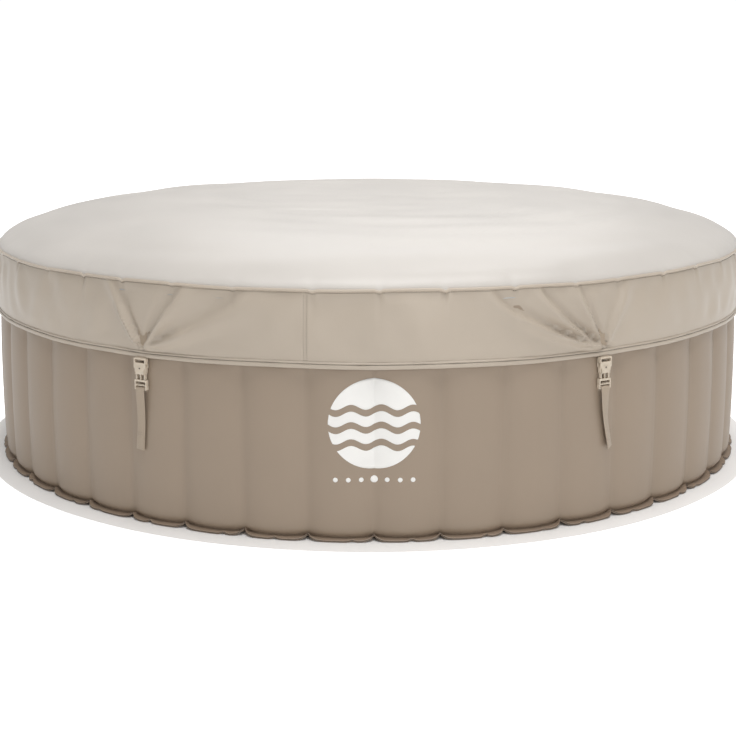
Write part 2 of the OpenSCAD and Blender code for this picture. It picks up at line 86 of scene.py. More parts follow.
CASING_LOW, CASING_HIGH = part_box("unit_base")[1].z + 0.0002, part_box("control_panel")[0].z - 0.0003
CASING_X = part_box("unit_base")[1].x + 0.004
CASING_FRONT, CASING_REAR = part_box("unit_base")[0].y - 0.004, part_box("unit_base")[1].y + 0.004
CASING_MID = (CASING_FRONT + CASING_REAR) / 2


def linear(r, g, b):
    """Linear colour of a display colour given from 0 to 255."""
    return tuple(((c / 255 + 0.055) / 1.055) ** 2.4 for c in (r, g, b))


# ---- Sizes and colours that a user would change ----

class TubSizes(bpy.types.PropertyGroup):
    channels: IntProperty(name="Channels", description="Welded channels round the wall", default=44, min=8)
    lobe_depth: FloatProperty(
        name="Lobe depth", description="How far the weld between two channels lies behind their crowns",
        default=0.012, unit="LENGTH")
    scallop_pull: FloatProperty(
        name="Scallop pull", description="How far each weld pulls the bottom flange inwards",
        default=0.015, unit="LENGTH")
    scallop_lift: FloatProperty(
        name="Scallop lift", description="How far each weld lifts the bottom flange", default=0.010, unit="LENGTH")
    emblem_r: FloatProperty(
        name="Emblem radius", description="Radius of the printed disc", default=0.100, unit="LENGTH")
    emblem_z: FloatProperty(name="Emblem height", description="Height of its middle", default=0.268, unit="LENGTH")


class CoverSizes(bpy.types.PropertyGroup):
    fold_height: FloatProperty(
        name="Fold height", description="Height of the strongest fold above the skirt", default=0.014, unit="LENGTH")
    bulge: FloatProperty(
        name="Bulge", description="How far the skirt stands out between piping and hem", default=0.0035, unit="LENGTH")
    notch: FloatProperty(
        name="Notch", description="Depth of the dips in the piping over each weld", default=0.0044, unit="LENGTH")
    dip: FloatProperty(name="Dip", description="How far a buckle pulls the hem down", default=0.0015, unit="LENGTH")
    stitch: FloatProperty(name="Stitch", description="Length of one stitch", default=0.0045, unit="LENGTH")


class TubColours(bpy.types.PropertyGroup):
    cover: FloatVectorProperty(
        name="Cover", description="Colour of the cover's skirt", subtype="COLOR", default=linear(186, 173, 157))
    # Painted light: the top sheet is the skirt's fabric, and this lighter, paler colour stands in for the light from
    # above and the sheen on it
    top: FloatVectorProperty(
        name="Top", description="Colour of the cover's top sheet", subtype="COLOR", default=linear(204, 198, 191))
    wall: FloatVectorProperty(
        name="Wall", description="Colour of the walls", subtype="COLOR", default=linear(157, 140, 122))
    flange: FloatVectorProperty(
        name="Flange", description="Colour of the bottom flange", subtype="COLOR", default=linear(147, 129, 112))
    # Partly painted shade: the mat is white, and this colour is a little grey to stand in for the tub's shadow on its
    # front
    mat: FloatVectorProperty(
        name="Mat", description="Colour of the ground mat", subtype="COLOR", default=linear(240, 238, 236))
    webbing: FloatVectorProperty(
        name="Webbing", description="Colour of the straps", subtype="COLOR", default=linear(186, 168, 147))
    buckle: FloatVectorProperty(
        name="Buckle", description="Colour of the buckles", subtype="COLOR", default=linear(208, 194, 175))
    casing: FloatVectorProperty(
        name="Casing", description="Colour of the pump unit", subtype="COLOR", default=linear(205, 200, 192))
    dark: FloatVectorProperty(
        name="Dark parts", description="Colour of caps, nuts and panel", subtype="COLOR", default=linear(74, 72, 71))


class StageSizes(bpy.types.PropertyGroup):
    distance: FloatProperty(name="Distance", description="Camera's distance", default=3.802, unit="LENGTH")
    height: FloatProperty(name="Height", description="Camera's height", default=1.016, unit="LENGTH")
    tilt: FloatProperty(
        name="Tilt", description="Camera's turn up from straight down", default=math.radians(80.5), subtype="ANGLE")
    turn: FloatProperty(
        name="Turn", description="Camera's azimuth from the front", default=math.radians(-0.75), subtype="ANGLE")
    lens: FloatProperty(name="Lens", description="Focal length in millimetres", default=64.95)
    shift: FloatProperty(name="Shift", description="Vertical shift of the lens", default=-0.1)


# ---- Shapes: every shape is (points, faces, finish number, pattern coordinates or None) ----

def smooth(low, high, x):
    """0 below low, 1 above high, and 3t^2 - 2t^3 between."""
    t = np.clip((x - low) / (high - low), 0, 1)
    return t * t * (3 - 2 * t)


def bell(x, width):
    """exp(-(x / width)^2)."""
    return np.exp(-((x / width) ** 2))


def turns(count):
    """Azimuths of count columns round the tub, as one row."""
    return np.linspace(0, TAU, count, endpoint=False)[None, :]


def around(r, z, azimuth):
    """Points (r sin a, -r cos a, z): azimuth 0 is the front, and it grows towards +X."""
    r, z, azimuth = np.broadcast_arrays(r, z, azimuth)
    return np.stack([r * np.sin(azimuth), -r * np.cos(azimuth), z], -1)


def apart(a, b):
    """Signed angle from b to a, between -pi and pi."""
    return (a - b + math.pi) % TAU - math.pi


def grid(points, wrap=True, ring=False, start=False, end=False, finish=0, pattern=None):
    """Quads between neighbours of a (rows, columns) net. wrap joins the last column to the first and ring the last
    row to the first; start and end close the first and last row on their mean point."""
    rows, cols = points.shape[:2]
    index = np.arange(rows * cols).reshape(rows, cols)
    low, high = (index, np.roll(index, -1, 0)) if ring else (index[:-1], index[1:])
    if wrap:
        quads = np.stack([low, np.roll(low, -1, 1), np.roll(high, -1, 1), high], -1)
    else:
        quads = np.stack([low[:, :-1], low[:, 1:], high[:, 1:], high[:, :-1]], -1)
    faces = quads.reshape(-1, 4).tolist()
    found = [points.reshape(-1, 3)]
    patterns = None if pattern is None else [pattern.reshape(-1, 2)]
    for close, row, step in ((start, 0, -1), (end, rows - 1, 1)):
        if close:
            pole = sum(len(f) for f in found)
            a, b = index[row], np.roll(index[row], -1)
            pair = (a, b) if step > 0 else (b, a)
            faces += np.stack([*pair, np.full(cols, pole)], -1).tolist()
            found.append(points[row].mean(0)[None])
            if patterns is not None:
                patterns.append(pattern[row].mean(0)[None])
    return np.concatenate(found), faces, finish, None if patterns is None else np.concatenate(patterns)


def offset(points, depth, wrap=True):
    """The net moved by depth against its outward normal, from differences along its rows and columns."""
    across = np.roll(points, -1, 1) - np.roll(points, 1, 1) if wrap else np.gradient(points, axis=1)
    normal = np.cross(across, np.gradient(points, axis=0))
    length = np.linalg.norm(normal, axis=-1, keepdims=True)
    return points - depth * normal / np.maximum(length, 1e-12)


def shell(points, depth, step=3, finish=0):
    """A closed sheet: the net, and its offset copy with every step-th row, run back to the start."""
    inner = offset(points, depth)
    keep = sorted({*range(0, len(points), step), len(points) - 1}, reverse=True)
    return grid(np.concatenate([points, inner[keep]]), ring=True, finish=finish)


def disc_shell(points, depth, finish=0):
    """A closed round sheet from a net whose first row is its rim and whose last row is near its middle."""
    inner = offset(points, depth)[::-4]
    inner = np.concatenate([inner, offset(points, depth)[:1]])
    return grid(np.concatenate([inner, points]), start=True, end=True, finish=finish)


def lathe(profile, count, ring=False, start=False, end=False, finish=0):
    """A profile of (r, z) points turned round the tub's axis; it runs anticlockwise in (r, z)."""
    profile = np.array(profile, float)
    points = around(profile[:, :1], profile[:, 1:], turns(count))
    return grid(points, ring=ring, start=start, end=end, finish=finish)


def placed(points, origin, u, v, w):
    """Local (x, y, z) points carried to origin + x u + y v + z w."""
    return origin + points[..., :1] * u + points[..., 1:2] * v + points[..., 2:] * w


def rounded(half_w, half_h, r, arc=6):
    """Outline of a rectangle with round corners, anticlockwise."""
    a = np.linspace(0, math.pi / 2, arc)
    corners = [(1, 1, 0), (-1, 1, 1), (-1, -1, 2), (1, -1, 3)]
    return np.concatenate([
        np.stack([sx * (half_w - r) + r * np.cos(a + k * math.pi / 2),
                  sy * (half_h - r) + r * np.sin(a + k * math.pi / 2)], -1) for sx, sy, k in corners])


def circle(r, count=32):
    """Points r (cos a, sin a), anticlockwise."""
    a = np.linspace(0, TAU, count, endpoint=False)
    return np.stack([r * np.cos(a), r * np.sin(a)], -1)


def inset(outline, depth):
    """The outline moved in by depth along its normals."""
    along = np.roll(outline, -1, 0) - np.roll(outline, 1, 0)
    normal = np.stack([along[:, 1], -along[:, 0]], -1)
    return outline - depth * normal / np.linalg.norm(normal, axis=-1, keepdims=True)


def bevelled(low, high, bevel, steps=4):
    """Rows (inset, height) of a block's side: a quarter round of the bevel at the bottom and one at the top."""
    a = np.linspace(0, math.pi / 2, steps)
    bottom = np.stack([bevel * (1 - np.sin(a)), low + bevel * (1 - np.cos(a))], -1)
    top = np.stack([bevel * (1 - np.cos(a)), high - bevel * (1 - np.sin(a))], -1)
    return np.concatenate([bottom, top])


def slab(outline, low, high, bevel, frame_axes, finish=0):
    """A block of this outline between two heights, with rounded edges and closed ends."""
    rows = [np.concatenate([inset(outline, d), np.full((len(outline), 1), h)], -1)
            for d, h in bevelled(low, high, bevel)]
    return grid(placed(np.array(rows), *frame_axes), start=True, end=True, finish=finish)


def frame_block(outer, inner, low, high, bevel, frame_axes, finish=0):
    """A block with a hole: the rows run up the outside and back down the hole, all with rounded edges."""
    rows = [np.concatenate([inset(outer, d), np.full((len(outer), 1), h)], -1)
            for d, h in bevelled(low, high, bevel)]
    rows += [np.concatenate([inset(inner, -d), np.full((len(inner), 1), h)], -1)
             for d, h in bevelled(low, high, bevel)[::-1]]
    return grid(placed(np.array(rows), *frame_axes), ring=True, finish=finish)


def spun(profile, frame_axes, count=48, finish=0):
    """A profile of (radius, height) points turned round a frame's w axis, closed at both ends."""
    a = np.linspace(0, TAU, count, endpoint=False)
    profile = np.array(profile, float)
    r, h = profile[:, :1], profile[:, 1:]
    rows = np.stack([r * np.cos(a), r * np.sin(a), h + 0 * a], -1)
    return grid(placed(rows, *frame_axes), start=True, end=True, finish=finish)


def smooth_path(points, count):
    """Catmull-Rom curve through the points, at count even steps of its parameter."""
    p = np.array(points, float)
    p = np.concatenate([[2 * p[0] - p[1]], p, [2 * p[-1] - p[-2]]])
    t = np.linspace(0, len(p) - 3 - 1e-6, count)
    i, f = t.astype(int), (t % 1)[:, None]
    a, b, c, d = p[i], p[i + 1], p[i + 2], p[i + 3]
    return 0.5 * (2 * b + (c - a) * f + (2 * a - 5 * b + 4 * c - d) * f ** 2 + (3 * b - a - 3 * c + d) * f ** 3)


def swept(path, side, width, thickness, finish=0, twist=0.0, closed=False):
    """A flat band along a path: a rounded flat section stands on side and on path x side, turned by twist.
    Its pattern coordinates are metres across and along the band."""
    path = np.array(path, float)
    run = np.roll(path, -1, 0) - np.roll(path, 1, 0) if closed else np.gradient(path, axis=0)
    run /= np.linalg.norm(run, axis=-1, keepdims=True)
    side = np.broadcast_to(side, path.shape) - run * (np.broadcast_to(side, path.shape) * run).sum(-1, keepdims=True)
    side /= np.linalg.norm(side, axis=-1, keepdims=True)
    up = np.cross(run, side)
    turn = np.broadcast_to(twist, len(path))[:, None]
    side, up = side * np.cos(turn) + up * np.sin(turn), up * np.cos(turn) - side * np.sin(turn)
    thickness = np.broadcast_to(thickness, len(path))[:, None, None]
    section = rounded(0.5, 0.5, 0.499, 4)
    x = (width - 0.001) * np.sign(section[:, 0]) * np.abs(section[:, 0] * 2) ** 0.2 / 2
    y = section[:, 1]
    points = path[:, None] + side[:, None] * x[:, None] + up[:, None] * y[:, None] * thickness
    along = np.concatenate([[0], np.cumsum(np.linalg.norm(np.diff(path, axis=0), axis=-1))])
    pattern = np.stack(np.broadcast_arrays(x[None, :], along[:, None]), -1)
    return grid(points, ring=closed, start=not closed, end=not closed, finish=finish, pattern=pattern)


def tube(path, r, count=16, finish=0, closed=False):
    """A round tube along a path, its section carried on a side that stays level where it can."""
    path = np.array(path, float)
    run = np.roll(path, -1, 0) - np.roll(path, 1, 0) if closed else np.gradient(path, axis=0)
    run /= np.linalg.norm(run, axis=-1, keepdims=True)
    side = np.cross(run, UP)
    level = np.linalg.norm(side, axis=-1, keepdims=True)
    side = np.where(level > 1e-3, side / np.maximum(level, 1e-9), np.cross(run, BACK))
    up = np.cross(run, side)
    a = np.linspace(0, TAU, count, endpoint=False)[:, None]
    r = np.broadcast_to(r, len(path))[:, None, None]
    points = path[:, None] + r * (side[:, None] * np.cos(a) + up[:, None] * np.sin(a))
    return grid(points, ring=closed, start=not closed, end=not closed, finish=finish)


def stitches(path, outward, length, gap, width, finish=0):
    """Short threads along a path: each is a spindle of eight triangles, laid on the surface with its middle proud."""
    path = np.array(path, float)
    along = np.concatenate([[0], np.cumsum(np.linalg.norm(np.diff(path, axis=0), axis=-1))])
    starts = np.arange(0, along[-1] - length, length + gap)
    at = [np.stack([np.interp(starts + s, along, path[:, k]) for k in range(3)], -1) for s in (0, length)]
    out = np.stack([np.interp(starts + length / 2, along, outward[:, k]) for k in range(3)], -1)
    run = at[1] - at[0]
    across = np.cross(run, out)
    across *= width / 2 / np.linalg.norm(across, axis=-1, keepdims=True)
    middle, lift = (at[0] + at[1]) / 2, out * width * 0.6
    points = np.stack([at[0], at[1], middle + across, middle + lift, middle - across, middle - lift], 1)
    net = np.array([[0, 2, 3], [0, 3, 4], [0, 4, 5], [0, 5, 2], [1, 3, 2], [1, 4, 3], [1, 5, 4], [1, 2, 5]])
    faces = (net[None] + 6 * np.arange(len(starts))[:, None, None]).reshape(-1, 3)
    return points.reshape(-1, 3), faces.tolist(), finish, None


def piece(name, shapes, finishes, body, nodes=(), sharp=35):
    """Makes one mesh object of the shapes, gives it its finishes, hangs it on its body and hides the frame nodes that
    it stands for.
    """
    mesh = bpy.data.meshes.new(name)
    points, corners, sides, numbers, patterns, start = [], [], [], [], [], 0
    for found, polygons, number, pattern in shapes:
        points.append(found)
        corners.append(np.fromiter(chain.from_iterable(polygons), np.int32) + start)
        sides.append(np.fromiter(map(len, polygons), np.int32))
        numbers.append(np.full(len(polygons), number, np.int32))
        patterns.append(np.zeros((len(found), 2)) if pattern is None else pattern)
        start += len(found)
    corner, side = np.concatenate(corners), np.concatenate(sides)
    mesh.vertices.add(start)
    mesh.vertices.foreach_set("co", np.concatenate(points).ravel())
    mesh.loops.add(len(corner))
    mesh.loops.foreach_set("vertex_index", corner)
    mesh.polygons.add(len(side))
    mesh.polygons.foreach_set("loop_start", (np.cumsum(side) - side).astype(np.int32))
    mesh.polygons.foreach_set("material_index", np.concatenate(numbers))
    mesh.polygons.foreach_set("use_smooth", np.ones(len(side), bool))
    mesh.update(calc_edges=True)
    mesh.uv_layers.new(name="pattern").data.foreach_set("uv", np.concatenate(patterns)[corner].ravel())
    mesh.set_sharp_from_angle(angle=math.radians(sharp))
    for finish in finishes:
        mesh.materials.append(finish)
    made = bpy.data.objects.new(name, mesh)
    bpy.context.scene.collection.objects.link(made)
    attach(made, body)
    if nodes:
        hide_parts(*nodes)
    return made


# ---- Finishes ----

class Nodes:
    """A material's node tree with short ways to add and link."""

    def __init__(self, name):
        self.material = bpy.data.materials.new(name)
        self.material.use_nodes = True
        self.tree = self.material.node_tree
        self.shader = self.tree.nodes["Principled BSDF"]

    def add(self, kind, **sockets):
        node = self.tree.nodes.new(kind)
        for key, value in sockets.items():
            node.inputs[key.replace("_", " ")].default_value = value
        return node

    def link(self, output, target):
        self.tree.links.new(output, target)


def drift(nodes, coordinates, colour, spread, scale):
    """Colour that drifts between a little darker and a little lighter, in soft patches."""
    noise = nodes.add("ShaderNodeTexNoise", Scale=scale, Detail=3.0)
    ramp = nodes.add("ShaderNodeValToRGB")
    ramp.color_ramp.elements[0].position, ramp.color_ramp.elements[1].position = 0.3, 0.7
    for element, share in zip(ramp.color_ramp.elements, (1 - spread, 1 + spread)):
        element.color = (*[min(1.0, c * share) for c in colour], 1)
    nodes.link(coordinates, noise.inputs["Vector"])
    nodes.link(noise.outputs["Fac"], ramp.inputs["Fac"])
    nodes.link(ramp.outputs["Color"], nodes.shader.inputs["Base Color"])
    return noise


def uneven_gloss(nodes, noise, roughness, spread):
    """Roughness that follows the same patches."""
    share = nodes.add("ShaderNodeMapRange", To_Min=roughness - spread, To_Max=roughness + spread)
    nodes.link(noise.outputs["Fac"], share.inputs["Value"])
    nodes.link(share.outputs["Result"], nodes.shader.inputs["Roughness"])


def bump(nodes, height, strength, distance, below=None):
    """Relief from a height, on top of another relief if one is given."""
    relief = nodes.add("ShaderNodeBump", Strength=strength, Distance=distance)
    nodes.link(height, relief.inputs["Height"])
    if below is not None:
        nodes.link(below.outputs["Normal"], relief.inputs["Normal"])
    nodes.link(relief.outputs["Normal"], nodes.shader.inputs["Normal"])
    return relief


def moulded(name, colour, roughness=0.45, grain=1500.0, depth=0.12, spread=0.03, metallic=0.0, coat=0.0):
    """Moulded plastic or rubber: nearly one colour, with a fine spark-eroded grain and faint handling marks."""
    nodes = Nodes(name)
    nodes.shader.inputs["Metallic"].default_value = metallic
    nodes.shader.inputs["Coat Weight"].default_value = coat
    place = nodes.add("ShaderNodeTexCoord").outputs["Object"]
    uneven_gloss(nodes, drift(nodes, place, colour, spread, 14.0), roughness, 0.06)
    fine = nodes.add("ShaderNodeTexNoise", Scale=grain, Detail=2.0)
    nodes.link(place, fine.inputs["Vector"])
    bump(nodes, fine.outputs["Fac"], depth, 0.0003)
    return nodes.material


def leatherette(name, colour):
    """Coated cover fabric: pebbled grain, faint handling creases and a soft bloom."""
    nodes = Nodes(name)
    nodes.shader.inputs["Sheen Weight"].default_value = 0.12
    nodes.shader.inputs["Sheen Roughness"].default_value = 0.4
    nodes.shader.inputs["Specular IOR Level"].default_value = 0.55
    place = nodes.add("ShaderNodeTexCoord").outputs["Object"]
    uneven_gloss(nodes, drift(nodes, place, colour, 0.035, 3.2), 0.42, 0.07)
    pebbles = nodes.add("ShaderNodeTexVoronoi", Scale=620.0)
    nodes.link(place, pebbles.inputs["Vector"])
    creases = nodes.add("ShaderNodeTexNoise", Scale=26.0, Detail=5.0, Distortion=1.2)
    nodes.link(place, creases.inputs["Vector"])
    soft = bump(nodes, creases.outputs["Fac"], 0.10, 0.004)
    bump(nodes, pebbles.outputs["Distance"], 0.16, 0.0005, soft)
    return nodes.material


def welded_sheet(name, colour, spread=0.02, roughness=0.47):
    """Laminated wall sheet: even colour, satin, with the faint print of its backing scrim."""
    nodes = Nodes(name)
    place = nodes.add("ShaderNodeTexCoord").outputs["Object"]
    uneven_gloss(nodes, drift(nodes, place, colour, spread, 5.0), roughness, 0.05)
    scrim = nodes.add("ShaderNodeTexVoronoi", Scale=420.0)
    nodes.link(place, scrim.inputs["Vector"])
    waves = nodes.add("ShaderNodeTexNoise", Scale=9.0, Detail=2.0)
    nodes.link(place, waves.inputs["Vector"])
    soft = bump(nodes, waves.outputs["Fac"], 0.10, 0.010)
    bump(nodes, scrim.outputs["Distance"], 0.08, 0.0005, soft)
    return nodes.material


def foam_mat(name, colour):
    """Thin foam mat: pale, with round embossed cells."""
    nodes = Nodes(name)
    place = nodes.add("ShaderNodeTexCoord").outputs["Object"]
    uneven_gloss(nodes, drift(nodes, place, colour, 0.02, 4.0), 0.62, 0.05)
    cells = nodes.add("ShaderNodeTexVoronoi", Scale=150.0, Randomness=0.15)
    nodes.link(place, cells.inputs["Vector"])
    bump(nodes, cells.outputs["Distance"], 0.25, 0.001)
    return nodes.material


def woven(name, colour):
    """Ribbed webbing: ribs along the band crossed by picks, with darker gaps between the yarns."""
    nodes = Nodes(name)
    nodes.shader.inputs["Sheen Weight"].default_value = 0.2
    nodes.shader.inputs["Roughness"].default_value = 0.72
    place = nodes.add("ShaderNodeTexCoord").outputs["UV"]
    ribs = nodes.add("ShaderNodeTexWave", Scale=170.0)
    picks = nodes.add("ShaderNodeTexWave", Scale=260.0, Distortion=0.6)
    picks.bands_direction = "Y"
    for wave in (ribs, picks):
        nodes.link(place, wave.inputs["Vector"])
    height = nodes.add("ShaderNodeMath")
    height.operation = "MULTIPLY"
    nodes.link(ribs.outputs["Fac"], height.inputs[0])
    nodes.link(picks.outputs["Fac"], height.inputs[1])
    ramp = nodes.add("ShaderNodeValToRGB")
    for element, share in zip(ramp.color_ramp.elements, (0.78, 1.08)):
        element.color = (*[c * share for c in colour], 1)
    nodes.link(height.outputs["Value"], ramp.inputs["Fac"])
    nodes.link(ramp.outputs["Color"], nodes.shader.inputs["Base Color"])
    bump(nodes, height.outputs["Value"], 0.5, 0.0006)
    return nodes.material


FINISHES = {}


def finish(name):
    """A finish by name, made when it is first asked for."""
    if name in FINISHES:
        return FINISHES[name]
    colours = bpy.context.scene.tub_colours
    recipes = {
        "cover": lambda: leatherette("cover_leatherette", colours.cover),
        # painted light: the top gets the skirt's fabric in a lighter, paler colour for the light from above and its
        # sheen
        "top": lambda: leatherette("cover_top_painted_light", colours.top),
        "piping": lambda: leatherette("piping_leatherette", [c * 1.08 for c in colours.cover]),
        "thread": lambda: moulded("polyester_thread", [c * 0.40 for c in colours.cover], 0.7, 3000.0),
        "wall": lambda: welded_sheet("wall_laminate", colours.wall),
        "pool": lambda: welded_sheet("pool_laminate", [c * 0.35 + 0.40 for c in colours.wall], 0.03, 0.4),
        "flange": lambda: welded_sheet("flange_weld", colours.flange, 0.06),
        # partly painted shadow: the flange's edge, darkened as the shadow line under the flange
        "flange_edge": lambda: welded_sheet("flange_edge_painted_shadow", [c * 0.35 for c in colours.flange], 0.1),
        "print": lambda: moulded("white_print", linear(244, 242, 238), 0.5, 900.0, 0.05),
        # partly painted shade: the mat's colour is greyed for the tub's shadow on its front
        "mat": lambda: foam_mat("foam_mat", colours.mat),
        "lining": lambda: moulded("foil_lining", (0.62, 0.62, 0.61), 0.34, 90.0, 0.3, 0.06, 0.6),
        "bladder": lambda: welded_sheet("bladder_film", (0.64, 0.64, 0.62)),
        "ribs": lambda: welded_sheet("tension_ribs", (0.70, 0.70, 0.68)),
        "webbing": lambda: woven("webbing_weave", colours.webbing),
        "buckle": lambda: moulded("buckle_acetal", colours.buckle, 0.4, 2200.0, 0.08),
        # painted shade: a near-black finish for holes where there is only shade
        "shade": lambda: moulded("slot_shade", [c * 0.16 for c in colours.buckle], 0.8),
        "fitting": lambda: moulded("white_fitting", (0.80, 0.79, 0.76), 0.32, 1800.0, 0.08),
        "casing": lambda: moulded("casing_plastic", colours.casing, 0.5, 1300.0, 0.2),
        "dark": lambda: moulded("dark_plastic", colours.dark, 0.42, 1300.0, 0.18),
        # painted shade: a near-black finish in holes and vent slots, where there is only shade
        "vent": lambda: moulded("vent_shade", [c * 0.2 for c in colours.dark], 0.8),
        "window": lambda: moulded("display_window", (0.012, 0.014, 0.018), 0.12, 400.0, 0.01, 0.0, 0.0, 0.6),
        "segments": lambda: moulded("display_segments", (0.55, 0.72, 0.80), 0.4, 400.0, 0.01),
        "button": lambda: moulded("button_rubber", (0.66, 0.66, 0.64), 0.6, 1500.0, 0.1),
        "seal": lambda: moulded("seal_rubber", (0.02, 0.02, 0.02), 0.65, 1800.0, 0.1),
        "paper": lambda: moulded("filter_paper", (0.78, 0.78, 0.75), 0.85, 900.0, 0.4),
        "steel": lambda: moulded("drawn_steel", (0.55, 0.55, 0.56), 0.28, 600.0, 0.05, 0.05, 1.0),
    }
    FINISHES[name] = recipes[name]()
    return FINISHES[name]


# ---- The tub's walls ----

def across_channel(azimuth):
    """Share of the way from a channel's crown, 0, to its welds, 1, at this azimuth."""
    return np.abs(2 * np.mod(azimuth * bpy.context.scene.tub_sizes.channels / TAU, 1) - 1)


def arch(azimuth):
    """Height at which a channel ends in its round arch: highest on the crown and lowest at the welds."""
    return HEM_LOW + 0.008 - 0.022 * across_channel(azimuth) ** 2.6


def belly(azimuth, z):
    """How far the air pushes the wall out: most at half height, and nothing round the stiff fittings."""
    flat = bell(apart(azimuth, FITTING) * WALL_R, 0.06) * bell(z - VALVE_Z, 0.08)
    flat = flat + bell(apart(azimuth, -FITTING) * WALL_R, 0.06) * bell(z - DRAIN_Z, 0.09)
    flat = np.minimum(1, 1.6 * flat + 1 - smooth(0.12, 0.24, np.abs(apart(azimuth, math.pi)) * WALL_R))
    height = np.clip((z - WALL_LOW) / (HEM_LOW - WALL_LOW), 0, 1)
    return 0.0048 * (1 - flat) * np.sin(math.pi * height) ** 0.6


def wall_radius(azimuth, z):
    """R + belly - depth |share|^2.4 below the arches, pinched along the arches, tucked in at the foot."""
    share, top = across_channel(azimuth), arch(azimuth)
    depth = bpy.context.scene.tub_sizes.lobe_depth
    below = 1 - smooth(top - 0.020, top + 0.012, z)
    lobes = depth * share ** 2.4 * (0.35 + 0.65 * below)
    width = np.where(z < top, 0.010 + 0.006 * share, 0.030)
    pinch = (0.0012 + 0.0100 * share ** 6) * bell(z - top, width)
    foot = 0.011 * bell(z - WALL_LOW, 0.012)
    return WALL_R + 0.0010 + belly(azimuth, z) - np.maximum(lobes, pinch) - 0.35 * np.minimum(lobes, pinch) - foot


def flange_edge(azimuth):
    """(radius, lift) of the flange: each weld draws it in and up as |share|^7, and a small pucker lies between."""
    sizes = bpy.context.scene.tub_sizes
    share = across_channel(azimuth)
    channel = np.floor(azimuth * sizes.channels / TAU).astype(int) % sizes.channels
    draw = np.random.default_rng(7)
    place, height = draw.uniform(0.25, 0.75, sizes.channels), draw.uniform(0.1, 0.42, sizes.channels)
    strength = draw.uniform(0.75, 1.15, sizes.channels)
    along = np.mod(azimuth * sizes.channels / TAU, 1)
    pucker = height[channel] * bell(along - place[channel], 0.05)
    near = strength[(channel + (along > 0.5)) % sizes.channels]
    cusp = near * share ** 7 + pucker + 0.10 * share ** 2
    return FLANGE_R - sizes.scallop_pull * cusp, sizes.scallop_lift * cusp


def make_walls():
    """Outer wall, rim and inner wall: closed sheets that follow wall_radius, a half ellipse, and its mirror."""
    channels = bpy.context.scene.tub_sizes.channels
    azimuth = turns(channels * 16)
    z = np.concatenate([np.linspace(WALL_LOW, 0.06, 12), np.linspace(0.09, 0.33, 9),
                        np.linspace(0.345, 0.42, 18), np.linspace(0.435, WALL_HIGH, 5)])[:, None]
    outer = around(wall_radius(azimuth, z), z, azimuth)
    piece("wall_outer", [shell(outer, SHEET)], [finish("wall")], "tub", ["outer_wall"], 60)

    half, rise = (WALL_R - INNER_R) / 2, RIM_HIGH - WALL_HIGH
    azimuth = turns(channels * 12)
    a = np.linspace(0, math.pi, 33)[:, None]
    pucker = 0.0025 * across_channel(azimuth) ** 6 * (bell(a, 0.35) + bell(a - math.pi, 0.35))
    rim = around(RIM_MID + (half - pucker) * np.cos(a), WALL_HIGH + 0.0003 + (rise - pucker) * np.sin(a), azimuth)
    piece("rim_tube", [shell(rim, SHEET)], [finish("wall")], "tub", ["rim_sheet"], 60)

    z = np.concatenate([np.linspace(WALL_HIGH, 0.40, 14), np.linspace(0.38, 0.07, 12),
                        np.linspace(0.06, WALL_LOW, 8)])[:, None]
    share = across_channel(azimuth)
    ends = smooth(WALL_LOW, 0.05, z) * (1 - smooth(0.40, 0.46, z))
    inner = around(INNER_R + 0.001 + 0.012 * share ** 2.4 * ends, z, azimuth)
    piece("wall_inner", [shell(inner, SHEET)], [finish("pool")], "tub", ["inner_wall"], 60)


def make_ribs():
    """Welded webs between the walls: one thin upright strip per weld, its edges following both sheets."""
    channels = bpy.context.scene.tub_sizes.channels
    low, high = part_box("tension_ribs")[0].z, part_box("tension_ribs")[1].z
    z = np.linspace(low, high, 12)[:, None]
    shapes = []
    for weld in np.arange(channels) * TAU / channels:
        near = INNER_R + 0.018 + 0 * z
        far = wall_radius(weld, z) - 2.2 * SHEET
        r = np.concatenate([near, far, far, near], 1)
        side = np.array([[-0.0006, -0.0006, 0.0006, 0.0006]]) / r
        shapes.append(grid(around(r, z + 0 * r, weld + side), start=True, end=True))
    piece("webs", shapes, [finish("ribs")], "tub", ["tension_ribs"])


def make_ground():
    """Mat, base sheet and scalloped flange: flat round sheets whose edges wander or follow the welds."""
    azimuth = turns(352)
    share = np.linspace(1, 0.02, 24)[:, None] ** 0.7
    wander = 0.0006 * (np.sin(5 * azimuth) + np.sin(13 * azimuth + 1)) * share ** 6
    fall = (MAT_T - 0.0008) * (1 - bell(share - 1, 0.0016))
    mat = around((MAT_R - 0.0010) * share + wander, 0.0008 + fall + 0 * azimuth, azimuth)
    made = piece("ground_mat_skin", [disc_shell(mat, 0.0006)], [finish("mat")], "tub", ["ground_mat"])

    azimuth = turns(bpy.context.scene.tub_sizes.channels * 24)
    edge, lift = flange_edge(azimuth)
    share = np.linspace(1, 0.02, 14)[:, None] ** 0.5
    base = around((edge - 0.0012) * share, BASE_HIGH + lift * bell(share - 1, 0.04), azimuth)
    made = piece("base_sheet_skin", [disc_shell(base, BASE_HIGH - BASE_LOW - 0.0002)], [finish("flange")],
                 "tub", ["base_sheet"])

    foot = wall_radius(azimuth, WALL_LOW) - 0.004
    low, high = FLANGE_LOW, FLANGE_HIGH
    profile = [(0.0, low), (0.5, low), (1.0, low), (1.0, (low + high) / 2), (0.96, high - 0.0004),
               (0.55, high - 0.0002), (0.2, high + 0.001), (0.0, high + 0.003)]
    rows = [around(foot + (edge - foot) * s, h + lift * s ** 1.5, azimuth) for s, h in profile]
    # Dark band on the flange's outer edge: partly its edge, partly painted shadow under the flange
    rim = [around(edge + 0.0002, low + lift + h, azimuth) for h in (-0.0001, 0.0007, 0.0016)]
    rim = np.concatenate(rim)
    edge_band = grid(np.concatenate([rim, offset(rim, 0.0006)[1:2]]), ring=True, finish=1)
    piece("flange_scalloped", [grid(np.concatenate(rows), ring=True), edge_band],
          [finish("flange"), finish("flange_edge")], "tub", ["bottom_hem"])


